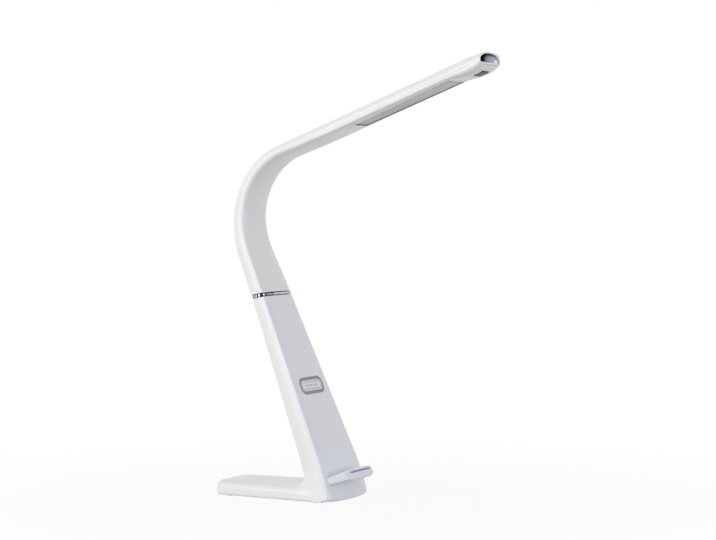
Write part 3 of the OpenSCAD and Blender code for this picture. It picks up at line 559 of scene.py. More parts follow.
# Painted shade: the dark grey of the band in the gap round the light panel.
GAP_SHADE_PAINTED = Finish("painted_gap_shade_grey", (0.10, 0.10, 0.105), 0.5, 0.6, drift=0.1, relief=0.00001)
FROST = Finish("frosted_diffuser", (0.62, 0.62, 0.63), 0.42, 0.55, relief=0.00003, grain=2200.0)


# --- the lamp's lines ---


# An arch has a column at each of these angles, and more of them near its widest lines.
NEAR_EDGE = np.degrees(np.arcsin(np.array([4.7e-6, 9e-5, 6e-4, 3.6e-3, 0.0148])))
ARCH_ANGLES = np.concatenate([[0.0], NEAR_EDGE, np.linspace(0.0, 180.0, 65)[1:-1], 180.0 - NEAR_EDGE[::-1],
                              [180.0]])


@dataclass
class Stations:
    """Cross-sections along the lamp's front line, one row of each array for each of them."""

    point: Array
    heading: Array
    shear: Array
    half: Array
    depth: Array
    edge: Array
    back_power: Array
    face_power: Array

    def joined(self, other: "Stations") -> "Stations":
        """These stations, followed by the others."""
        return Stations(*(np.concatenate([a, b]) for a, b in zip(vars(self).values(), vars(other).values())))

    def shrunk(self, wall: Many) -> "Stations":
        """The stations of the inner side of a wall."""
        return replace(self, half=self.half - wall, depth=self.depth - wall)

    def place(self, y: Array, n: Array) -> Array:
        """Puts section points in space: a station's point plus n times its back direction, then the shear.

        Args:
            y: (N, M) distances across the lamp.
            n: (N, M) depths behind the front line.

        Returns:
            The (N, M, 3) points.
        """
        back = unit(self.heading + 90.0) + self.shear[:, None] * unit(self.heading)
        return upright(self.point[:, None, :] + n[:, :, None] * back[:, None, :], y)

    def arch(self, tuck: Many = 0.0) -> Array:
        """The back surface, a half superellipse from one widest line to the other.

        y = -half cos(a)^(2/p), and n = edge + (depth - edge) sin(a)^(2/p). Near n = 0 the sides turn in by a
        quarter round.

        Args:
            tuck: the radius of that quarter round, for each station or for all.

        Returns:
            The (N, M, 3) points.
        """
        radius = np.broadcast_to(np.asarray(tuck, float), self.half.shape)[:, None]
        wide, deep = superellipse(np.deg2rad(ARCH_ANGLES)[None, :], self.back_power[:, None])
        n = self.edge[:, None] + (self.depth - self.edge)[:, None] * np.abs(deep)
        return self.place(-(self.half[:, None] - quarter_ease(radius, n)) * wide, n)

    def tray_depth(self, share: Array) -> Array:
        """The depth of the front surface, which is flat in the middle and square at the sides.

        n = edge (1 - (1 - |share|^q)^(1/q)).

        Args:
            share: (N, M) shares of the half width, from -1 to 1.

        Returns:
            The (N, M) depths.
        """
        q = self.face_power[:, None]
        rise = np.clip(1.0 - np.abs(share) ** q, 0.0, 1.0) ** (1.0 / q)
        return np.maximum(self.edge - SEAM, 0.0)[:, None] * (1.0 - rise)

    def tray_shares(self, flat: Array, rim_steps: int) -> Array:
        """The shares of the half width at which the front surface has its columns.

        The flat middle has fixed shares. The rims follow share = cos(a)^(2/q), closer near the widest line.

        Args:
            flat: (K,) increasing shares of the middle, symmetric about 0.
            rim_steps: the columns of each rim.

        Returns:
            The (N, K + 2 rim_steps) shares.
        """
        q = self.face_power[:, None]
        angle = np.arccos(flat[-1] ** (q / 2.0)) * (np.arange(rim_steps)[None, :] / rim_steps) ** 1.6
        rim = np.cos(angle) ** (2.0 / q)
        return np.concatenate([-rim, np.repeat(flat[None, :], len(rim), axis=0), rim[:, ::-1]], axis=1)

    def tray(self, shares: Array) -> Array:
        """The (N, M, 3) points of the front surface at those shares."""
        return self.place(shares * self.half[:, None], self.tray_depth(shares))


@dataclass
class LampLines:
    """The lamp's driving sizes, and the formulas of its front line and of its sections."""

    foot_len: float = 121.4
    foot_w_front: float = 75.0
    foot_w_back: float = 57.0
    foot_top: float = 13.0
    foot_lift: float = 0.8
    foot_corner_r: float = 6.0
    foot_edge_r: float = 3.5
    heel_r: float = 6.0
    nose_bulge: float = 5.0
    nose_step: float = 4.0
    post_lean: float = 22.8
    post_len: float = 165.0
    ledge_z: float = 22.8
    post_w_low: float = 70.6
    ring_w: float = 50.2
    post_t_low: float = 26.6
    ring_t: float = 18.0
    post_edge: float = 2.6
    ring_edge: float = 3.2
    ring_lean: float = 11.4
    ring_h: float = 3.0
    ring_inset: float = 0.3
    run_gap: float = 0.3
    neck_straight: float = 38.4
    low_bend_r: float = 68.6
    low_bend_turn: float = 42.3
    high_bend_r: float = 54.0
    high_bend_turn: float = 49.0
    neck_w: float = 41.2
    neck_t: float = 16.7
    arm_len: float = 202.0
    arm_t: float = 12.2
    tip_t: float = 12.6
    tip_edge: float = 5.0
    tip_lean: float = 5.0
    tip_from: float = 12.0
    bulge_h: float = 2.7
    bulge_len: float = 30.0
    bulge_skew: float = 0.63
    tip_rise: float = 0.8
    rise_len: float = 8.0
    tip_drop: float = 1.4
    key_from_tip: float = 10.0
    plate_p: float = 7.0
    post_p: float = 3.0
    arm_p: float = 2.8
    nose_q: float = 2.6
    face_q: float = 9.0
    ring_q: float = 5.5
    bend_q: float = 2.7
    arm_q: float = 5.0
    tip_q: float = 4.0
    bend_edge: float = 4.8
    arm_edge: float = 4.4
    slim_share: float = 0.6
    flat_from: float = 50.0
    blend_len: float = 30.0
    cover_turn: float = 0.52
    corner_sharp: float = 30.0
    ease_in: float = 0.3
    ease_out: float = 0.2
    wall: float = 2.2
    fit: float = 0.15

    def __post_init__(self) -> None:
        """Works out the points that the sizes lead to, in the order of the CAD source."""
        self.lean = 90.0 + self.post_lean
        self.up_post, self.to_back = unit(self.lean), unit(self.lean + 90.0)
        self.ring_tilt = self.post_lean - self.ring_lean
        self.ring_shear = math.tan(math.radians(self.ring_tilt))
        self.mid_heading = self.lean - self.low_bend_turn
        self.arm_angle = self.mid_heading - self.high_bend_turn
        self.along_arm, self.into_arm = unit(self.arm_angle), unit(self.arm_angle + 90.0)
        self.tip_shear = math.tan(math.radians(self.arm_angle - self.tip_lean))
        ring_stack = (self.ring_h + 2 * self.run_gap) / math.cos(math.radians(self.ring_tilt))
        neck_rel = (self.post_len + ring_stack) * self.up_post
        bends = (arc_move(self.low_bend_r, self.lean, self.low_bend_turn)
                 + arc_move(self.high_bend_r, self.mid_heading, self.high_bend_turn))
        arm_rel = neck_rel + self.neck_straight * self.up_post + bends
        tip_x = (arm_rel + self.arm_len * self.along_arm)[0]
        reach = max(tip_x, tip_x + self.tip_t * (self.into_arm + self.tip_shear * self.along_arm)[0])
        ahead = self.nose_bulge + self.nose_step
        self.root = np.array([-(reach + ahead - self.foot_len) / 2.0, self.ledge_z])
        self.nose_x = self.root[0] + ahead
        self.back_x = self.nose_x - self.foot_len
        self.ring_front = self.root + self.post_len * self.up_post
        self.neck_start, self.arm_start = self.root + neck_rel, self.root + arm_rel
        thick = self.post_t_low + self.heel_r
        heel_z = self.foot_top + self.heel_r
        self.heel_up = (heel_z - self.ledge_z - thick * self.to_back[1]) / self.up_post[1]
        self.heel = self.root + thick * self.to_back + self.heel_up * self.up_post
        corner = math.degrees(math.atan2(self.foot_lift - self.heel[1], self.nose_x - self.heel[0]))
        self.corner_turn = (90.0 + corner) / self.lean
        self.bend2_at = self.neck_straight + self.low_bend_r * math.radians(self.low_bend_turn)
        self.arm_at = self.bend2_at + self.high_bend_r * math.radians(self.high_bend_turn)
        self.tip_at = self.arm_at + self.arm_len

    def foot_half(self, x: Array) -> Array:
        """Half the foot's width at a distance along X."""
        widening = (self.foot_w_front - self.foot_w_back) * (x - self.back_x) / self.foot_len
        return (self.foot_w_back + widening) / 2.0

    def post_half(self, s: Many) -> Many:
        """Half the post's width at a length up its face."""
        return (self.post_w_low + (self.ring_w - self.post_w_low) * s / self.post_len) / 2.0

    def heel_half(self, x: Array, z: Array) -> Array:
        """Half the width round the heel, which goes from the foot's at x to the post's as z rises."""
        up = (z - self.foot_lift) / (self.ledge_z + self.heel_up * self.up_post[1] - self.foot_lift)
        return blend(self.foot_half(np.minimum(x, self.nose_x)), self.post_half(self.heel_up), up)

    def foot(self, d: Array, cut: float) -> Stations:
        """The stations of the foot plate, whose width and height are eased by quarter rounds at the back end.

        Args:
            d: distances from the back end.
            cut: how far the surface lies inside the outer one.

        Returns:
            The stations, whose back direction is straight up.
        """
        x = self.back_x + d
        half = self.foot_half(x) - cut - quarter_ease(self.foot_corner_r - cut, d - cut)
        depth = self.foot_top - self.foot_lift - cut - quarter_ease(self.foot_edge_r - cut, d - cut)
        flat = np.zeros_like(d)
        return Stations(np.stack([x, flat + self.foot_lift], axis=-1), flat, flat, half, depth, flat,
                        flat + self.plate_p, flat + self.nose_q)

    def turn(self, f: Array) -> Stations:
        """The stations that fan round the heel, from the foot plate (0) to the post (1).

        The reach of a ray from the heel is the p-norm of its reaches to the desk side, the nose and the face.

        Args:
            f: shares of the turn.

        Returns:
            The stations.
        """
        angle = f * self.lean - 90.0
        ray = unit(angle)
        low = np.maximum(0.0, -ray[:, 1]) / (self.heel[1] - self.foot_lift)
        front = np.maximum(0.0, ray[:, 0]) / (self.nose_x - self.heel[0])
        face = np.maximum(0.0, np.cos(np.deg2rad(angle - self.post_lean))) / (self.post_t_low + self.heel_r)
        norm = self.corner_sharp
        reach = 1.0 / (low ** norm + front ** norm + face ** norm) ** (1.0 / norm)
        point = self.heel + reach[:, None] * ray
        peak = self.post_edge + self.nose_bulge
        past = (f - self.corner_turn) / (1.0 - self.corner_turn)
        rising = blend(0.0, peak, (f - self.cover_turn) / (self.corner_turn - self.cover_turn))
        edge = np.where(past < 0.0, rising, blend(peak, self.post_edge, past))
        return Stations(point, angle + 90.0, np.zeros_like(f), self.heel_half(*point.T), reach - self.heel_r,
                        edge, blend(self.plate_p, self.post_p, f), blend(self.nose_q, self.face_q, past))

    def even_sides(self, points: Array, f: Array, half: Array, wall: float) -> Array:
        """Evens out the sides round the heel, so that the width depends on the place and not on the station.

        The half width is that of heel_half, and at both ends of the turn it eases back to the station's own.

        Args:
            points: (N, M, 3) points, of which those of the turn come first.
            f: the shares of the turn.
            half: (N,) half widths of the stations.
            wall: how far the surface lies inside the outer one.

        Returns:
            The same points, with y scaled round the heel.
        """
        turned = points[:len(f)]
        ease = np.clip(f / self.ease_in, 0.0, 1.0) * np.clip((1.0 - f) / self.ease_out, 0.0, 1.0)
        ease = (ease * ease * (3.0 - 2.0 * ease))[:, None]
        wanted = self.heel_half(turned[..., 0], turned[..., 2]) - wall
        turned[..., 1] *= 1.0 + ease * (wanted / (half[:len(f), None] - wall) - 1.0)
        return points

    def post(self, s: Array) -> Stations:
        """The stations of the leaning post.

        Args:
            s: lengths up its face.

        Returns:
            The stations.
        """
        up = (s - self.heel_up) / (self.post_len - self.heel_up)
        shear = self.ring_shear * np.clip(1.0 - (self.post_len - s) / self.blend_len, 0, 1)
        return Stations(self.root + s[:, None] * self.up_post, np.full_like(s, self.lean), shear,
                        self.post_half(s), self.post_t_low + (self.ring_t - self.post_t_low) * up,
                        blend(self.post_edge, self.ring_edge, up), np.full_like(s, self.post_p),
                        blend(self.face_q, self.ring_q, up))

    def neck_heading(self, s: Array) -> Array:
        """The neck's heading at lengths along its inner face, which turns in the two bends."""
        stops = [self.neck_straight, self.bend2_at, self.arm_at]
        return np.interp(s, stops, [self.lean, self.mid_heading, self.arm_angle])

    def neck_point(self, s: Array) -> Array:
        """The point on the neck's inner face, which is a straight, two arcs, and the straight arm.

        Args:
            s: lengths along it.

        Returns:
            The (N, 2) points.
        """
        turned = self.lean - self.neck_heading(s)
        low = arc_move(self.low_bend_r, self.lean, np.minimum(turned, self.low_bend_turn))
        high = arc_move(self.high_bend_r, self.mid_heading, np.maximum(turned - self.low_bend_turn, 0.0))
        straight = np.minimum(s, self.neck_straight)[:, None] * self.up_post
        arm = np.maximum(s - self.arm_at, 0.0)[:, None] * self.along_arm
        return self.neck_start + straight + low + high + arm

    def bulge(self, d: Many) -> Array:
        """How far the underside dips near the tip: a skewed half sine, less a rise at the very end.

        Args:
            d: distances from the tip.

        Returns:
            The depths of the dip.
        """
        dip = self.bulge_h * np.sin(np.pi * np.clip(d / self.bulge_len, 0.0, 1.0) ** self.bulge_skew)
        rise = self.tip_rise * np.clip(1.0 - d / self.rise_len, 0.0, 1.0)
        return np.where(d > self.bulge_len, 0.0, dip - rise)

    def neck(self, s: Array) -> Stations:
        """The stations of the neck and of the arm.

        Args:
            s: lengths along the inner face.

        Returns:
            The stations.
        """
        heading = self.neck_heading(s)
        shear = self.ring_shear * np.clip(1.0 - s / self.blend_len, 0, 1)
        shear = shear + self.tip_shear * np.clip(1.0 - (self.tip_at - s) / self.blend_len, 0, 1)
        dip = self.bulge(self.tip_at - s)
        slim_at = self.neck_straight + self.slim_share * (self.bend2_at - self.neck_straight)
        shaped_at = self.tip_at - self.tip_from
        stops = [0, slim_at, self.arm_at, self.arm_at + self.flat_from, self.tip_at - self.bulge_len]
        half = np.interp(s, [0, slim_at], [self.ring_w, self.neck_w]) / 2.0
        depth = np.interp(s, [0, slim_at, self.arm_at, shaped_at, self.tip_at],
                          [self.ring_t, self.neck_t, self.arm_t, self.tip_t, self.tip_t - self.tip_drop])
        edge = np.interp(s, [*stops, self.tip_at], [self.ring_edge, self.bend_edge, self.bend_edge,
                                                    self.arm_edge, self.arm_edge, self.tip_edge])
        face_power = np.interp(s, [*stops, shaped_at],
                               [self.ring_q, self.bend_q, self.bend_q, self.arm_q, self.arm_q, self.tip_q])
        back = unit(heading + 90.0) + shear[:, None] * unit(heading)
        back_power = np.interp(s, [0, self.arm_at], [self.post_p, self.arm_p])
        return Stations(self.neck_point(s) - dip[:, None] * back, heading, shear, half, depth + dip,
                        edge + dip, back_power, face_power)

    def on_face(self, across: Many, up: Array, out: Array) -> Array:
        """Points given across, up and out of the post's front face, in space."""
        return upright(self.root + up[..., None] * self.up_post - out[..., None] * self.to_back, across)

    def on_arm(self, along: Array, across: Array, deep: Array) -> Array:
        """Points given along, across and into the arm's underside, in space."""
        flat = self.arm_start + along[..., None] * self.along_arm + deep[..., None] * self.into_arm
        return upright(flat, across)

    def at_ring(self, x: Array, y: Array, z: Array) -> Array:
        """Points of the ring's own frame, whose +Z is the swivel axis, in space."""
        level, rise = unit(self.ring_lean), unit(90.0 + self.ring_lean)
        return upright(self.ring_front + x[..., None] * level + z[..., None] * rise, y)


LINES = LampLines()


# --- the sub-assemblies ---


@dataclass
class Foot:
    """The foot and post: the white shell, the face strip, the ledge, its light and the charging mark."""

    flat_columns: int = 27
    tuck: float = 1.9
    tuck_fade: float = 0.06
    strip_after: float = 0.021
    slot_half: float = 2.85
    slot_up: float = 3.5
    slot_round: float = 0.7
    lip: float = 0.4
    ledge_out: float = 16.0
    ledge_sunk: float = 0.6
    ledge_root_w: float = 64.0
    ledge_root_t: float = 9.0
    ledge_front_w: float = 48.0
    ledge_t: float = 10.4
    ledge_round: float = 2.6
    ledge_side_round: float = 3.64
    ledge_nose: float = 3.6
    ledge_p: float = 4.6
    light_len: float = 37.0
    light_drop: float = 2.4
    light_t: float = 1.6
    light_deep: float = 2.0
    mark_up: float = 81.0
    mark_h: float = 15.5
    mark_w: float = 41.5
    mark_line: float = 3.0
    mark_corner: float = 7.0
    print_t: float = 0.05
    inner_inset: float = 3.0
    inner_line: float = 1.2
    inner_corner: float = 2.2
    inner_t: float = 0.04
    dot_r: float = 1.0
    dot_pitch: float = 4.5

    def turn_shares(self) -> Array:
        """The shares of the heel's turn that have a station, closer together round the nose's corner.

        Returns:
            The shares.
        """
        near = np.array([0.004, 0.008, 0.013, 0.02, 0.03])
        corner = LINES.corner_turn + np.concatenate([-near, [0.0], near])
        return np.unique(np.concatenate([np.linspace(0.0, 1.0, 61), corner, [LINES.cover_turn]]).round(6))

    def slotted(self, surface: Array) -> Array:
        """Puts the back wall before a surface, in straight lines from the inlet's slot to its first section.

        The slot is half a circle over two straight sides.

        Args:
            surface: (N, M, 3) points.

        Returns:
            The points with six more rows.
        """
        t = np.linspace(-1.0, 1.0, surface.shape[1])
        bend = np.clip(t / self.slot_round, -1.0, 1.0) * np.pi / 2
        up = np.where(np.abs(t) > self.slot_round, self.slot_up * (1 - np.abs(t)) / (1 - self.slot_round),
                      self.slot_up + self.slot_half * np.cos(bend))
        flat = np.stack([np.full_like(t, surface[0, 0, 0]), up + LINES.foot_lift], axis=-1)
        slot = upright(flat, self.slot_half * np.sin(bend))
        share = np.linspace(0.0, 1.0, 7)[:-1, None, None]
        return np.concatenate([slot + share * (surface[:1] - slot), surface])

    def shell(self) -> Piece:
        """The white shell: the back wall, the foot plate, the turn round the heel and the post.

        The quarter round along the desk fades out before the front strip.

        Returns:
            The piece.
        """
        plate = LINES.heel[0] - LINES.back_x
        ends = np.concatenate([LINES.foot_edge_r * (1 - np.cos(np.linspace(0, np.pi / 2, 9))),
                               [4.2, 5.0, 6.0, 8.0], np.linspace(14.0, plate - 2.0, 10)])
        shares = self.turn_shares()
        body = LINES.turn(shares).joined(LINES.post(np.linspace(LINES.heel_up, LINES.post_len, 40)[1:]))
        fading = np.zeros(len(body.half))
        fading[:len(shares)] = np.clip((LINES.cover_turn - shares) / self.tuck_fade, 0.0, 1.0)
        walls = []
        for wall, tuck in ((0.0, self.tuck), (LINES.wall, 0.0)):
            foot = LINES.foot(wall + (plate - wall) * ends / plate, wall).arch(tuck)
            rest = LINES.even_sides(body.shrunk(wall).arch(tuck * fading), shares, body.half, wall)
            walls.append(self.slotted(np.concatenate([foot, rest])))
        return Grid().band(*walls).piece("base_shell_moulding", "base", WHITE, "white_shell", "base_shell")

    def face(self) -> Piece:
        """The strip that closes the nose and the front of the post, with a flat middle and square sides.

        Its inner side follows the outer one at the wall's depth, or less where the edge is shallow.

        Returns:
            The piece.
        """
        shares = self.turn_shares()
        shares = shares[shares > LINES.cover_turn + self.strip_after]
        line = LINES.turn(shares).joined(LINES.post(np.linspace(LINES.heel_up, LINES.post_len, 46)[1:]))
        columns = line.tray_shares(np.linspace(-0.8, 0.8, self.flat_columns), 14)
        floor = np.minimum(LINES.wall, line.edge - self.lip)[:, None]
        depth = floor + line.tray_depth(columns) * (1 - floor / (line.edge[:, None] - SEAM))
        inner = line.place(columns * (line.half - LINES.wall)[:, None], depth)
        grid = Grid().band(LINES.even_sides(line.tray(columns), shares, line.half, 0.0),
                           LINES.even_sides(inner, shares, line.half, LINES.wall))
        # The strip's finish is painted shade: the white made darker and bluer.
        return soften(grid.piece("front_face_strip", "base", FACE_PAINTED_SHADE, "face_panel", "front_panel"))

    def printed(self, across: Array, up: Array, proud: Array) -> Array:
        """Points of a print on the post's front surface.

        Args:
            across: distances across the lamp.
            up: distances up from the mark's middle.
            proud: heights above the surface.

        Returns:
            The points.
        """
        line = LINES.post(self.mark_up + up.ravel())
        deep = line.tray_depth((across.ravel() / line.half)[:, None])[:, 0].reshape(across.shape)
        return LINES.on_face(across, self.mark_up + up, proud - deep)

    def printed_line(self, inset: float, corner: float, width: float, proud: float) -> Grid:
        """A printed line round a rounded rectangle: a flat half ellipse that is carried along the outline.

        Args:
            inset: how far the line's middle lies inside the mark's edge.
            corner: the corner radius of the line's middle.
            width: the line's width.
            proud: its height above the face.

        Returns:
            The grid.
        """
        half = np.array([self.mark_w, self.mark_h]) / 2 - inset
        middle = outline(half, corner, 120)
        side, rise = superellipse(circle(16), 4.0)
        points = middle[:, None] + outward(middle, half, corner)[:, None] * (width / 2 * side)[:, None]
        return Grid().loop(self.printed(points[..., 0], points[..., 1], proud * rise[None, :]))

    def mark(self) -> list[Piece]:
        """The generic charging mark: a grey line, a lighter one within it, and a row of low domes.

        Returns:
            The three pieces.
        """
        edge = self.mark_line / 2
        outer = self.printed_line(edge, self.mark_corner - edge, self.mark_line, self.print_t)
        inner = self.printed_line(edge + self.inner_inset, self.inner_corner, self.inner_line, self.inner_t)
        dots = Grid()
        radius = self.dot_r * np.array([1.0, 0.97, 0.85, 0.5, 0.05])[:, None]
        rise = self.print_t * np.array([-1.0, 0.5, 0.95, 1.0, 1.0])[:, None]
        for place in range(-2, 3):
            across = place * self.dot_pitch + radius * np.cos(circle(24))
            dots.tube(self.printed(across, radius * np.sin(circle(24)), rise))
        return [outer.piece("charging_mark_line", "base", MARK, "mark_grey", "charge_mark"),
                inner.piece("charging_mark_inner_line", "base", MARK_LIGHT, "mark_grey"),
                dots.piece("charging_mark_dots", "base", MARK, "mark_grey")]

    def ledge(self) -> Piece:
        """The phone ledge: superellipse sections from its root to its front, closed by shrinking rings.

        Its width narrows evenly, and its sides, top and bottom end in quarter rounds at the front.

        Returns:
            The piece.
        """
        nose = self.ledge_nose * (1 - np.sin(np.linspace(0.1, np.pi / 2, 12)))
        out = np.concatenate([np.linspace(-self.ledge_sunk, self.ledge_out - 4.0, 14),
                              self.ledge_out - nose])[:, None]
        share = out / self.ledge_out
        left = self.ledge_out - out
        half = (self.ledge_root_w + (self.ledge_front_w - self.ledge_root_w) * share) / 2
        half = half - quarter_ease(self.ledge_side_round, left)
        thick = self.ledge_root_t + (self.ledge_t - self.ledge_root_t) * np.clip(share, 0, 1)
        wide, high = superellipse(circle(96), self.ledge_p)
        across = half * wide
        up = -thick / 2 + (thick / 2 - quarter_ease(self.ledge_round, left)) * high
        shrink = np.array([0.96, 0.88, 0.7, 0.45, 0.2])[:, None]
        middle = -self.ledge_t / 2
        front = middle + (up[-1] - middle) * shrink
        caps = LINES.on_face(across[-1] * shrink, front, np.full(1, self.ledge_out))
        grid = Grid().tube(np.concatenate([LINES.on_face(across, up, out), caps]))
        # The ledge takes the same painted shade as the face strip.
        return grid.piece("phone_ledge_lip", "base", FACE_PAINTED_SHADE, "white_shell", "phone_ledge", sharp=60.0)

    def ledge_light(self) -> Piece:
        """The light line in the ledge's front: a rounded bar whose face stands just out of the front.

        Returns:
            The piece.
        """
        half = np.array([self.light_len / 2, self.light_t / 2])
        line = outline(half, self.light_t / 2 - 0.05, 64)
        level = -self.light_drop - self.light_t / 2
        out = self.ledge_out + np.array([-self.light_deep, 0.02, 0.08, 0.1])[:, None]
        scale = np.array([1.0, 1.0, 0.985, 0.5])[:, None]
        grid = Grid().tube(LINES.on_face(line[:, 0] * scale, level + line[:, 1] * scale, out))
        return grid.piece("ledge_light_line", "base", LIGHT_LINE, "blue_light", "ledge_light")

    def build(self) -> list[Piece]:
        """Every piece of the foot and post."""
        return [self.shell(), self.face(), *self.mark(), self.ledge(), self.ledge_light()]


@dataclass
class Ring:
    """The chrome ring between the post and the neck, whose front bar is the hinge's barrel."""

    band_w: float = 1.8
    leaf_half: float = 6.8
    leaf_gap: float = 0.2
    bar_inset: float = 0.4

    def build(self) -> list[Piece]:
        """A rounded profile is carried round the arch of the section, and a round bar closes the front.

        Returns:
            The one piece, with the band and the two halves of the bar.
        """
        mid = LINES.run_gap + LINES.ring_h / 2
        grow = LINES.ring_w / 2 - LINES.ring_inset - self.band_w / 2
        deep = LINES.ring_t - LINES.ring_inset - self.band_w / 2
        front = LINES.ring_inset + LINES.ring_h / 2
        wide, far = superellipse(np.deg2rad(np.linspace(0.0, 180.0, 121)), LINES.post_p)
        y = -grow * np.pad(wide, 1, mode="edge")
        n = np.pad(LINES.ring_edge + (deep - LINES.ring_edge) * np.abs(far), 1, constant_values=front)
        line = np.stack([-n / math.cos(math.radians(LINES.ring_tilt)) - mid * LINES.ring_shear, y], axis=-1)
        along = np.gradient(line, axis=0)
        away = np.stack([along[:, 1], -along[:, 0]], axis=-1)
        away = away / np.linalg.norm(away, axis=1, keepdims=True)
        side, rise = superellipse(circle(24), 2.0 / 0.7)
        band = line[:, None] + away[:, None] * (self.band_w / 2 * side)[:, None]
        grid = Grid().tube(LINES.at_ring(band[..., 0], band[..., 1], mid + LINES.ring_h / 2 * rise[None, :]))
        low, high = self.leaf_half + self.leaf_gap, LINES.ring_w / 2 - LINES.ring_inset - self.bar_inset
        steps = np.array([low, low, low + 0.1, high - 0.4, high - 0.12, high, high])[:, None]
        radius = LINES.ring_h / 2 * np.array([0.55, 0.94, 1.0, 1.0, 0.9, 0.7, 0.1])[:, None]
        x = -front - mid * LINES.ring_shear + radius * np.cos(circle(24))
        for sign in (-1.0, 1.0):
            grid.tube(LINES.at_ring(x, sign * steps, mid + radius * np.sin(circle(24))))
        # The ring's chrome carries a painted dark reflection and painted glints at its right end.
        return [grid.piece("chrome_ring_band", "collar", RING_CHROME_PAINTED_REFLECTION, "ring_chrome", "chrome_ring",
                           sharp=50.0)]


@dataclass
class Window:
    """An opening in the neck's underside, between two lengths from the arm's start."""

    start: float
    end: float
    half_in: float
    half_out: float
    corner: float
    margin: float
    lead: float = 0.8

    def rows(self) -> Array:
        """The lengths at which the surface needs a row of points.

        Returns:
            The eight lengths. The second and the last but one bound the cells that are left out.
        """
        side = self.corner + self.margin
        steps = np.array([-self.lead, 0.0, side / 2, side])
        return np.concatenate([self.start - self.margin + steps, (self.end + self.margin - steps)[::-1]])

    def columns(self) -> Array:
        """The distances across at which the surface needs a column of points, on one side."""
        half, side = max(self.half_in, self.half_out) + self.margin, self.corner + self.margin
        return np.array([half - side, half - side / 2, half])

    def inner(self, points: Array) -> Array:
        """The points of the opening's outline that belong to points round it.

        They are the nearest ones on a rounded rectangle, whose width then tapers along the length.

        Args:
            points: (N, 2) lengths and distances across.

        Returns:
            The (N, 2) points of the outline.
        """
        centre = np.array([(self.start + self.end) / 2, 0.0])
        half = np.array([(self.end - self.start) / 2, max(self.half_in, self.half_out)])
        line = pulled_in(points - centre, half, self.corner)
        share = (line[:, 0] + half[0]) / (2 * half[0])
        line[:, 1] *= (self.half_in + (self.half_out - self.half_in) * share) / half[1]
        return line + centre


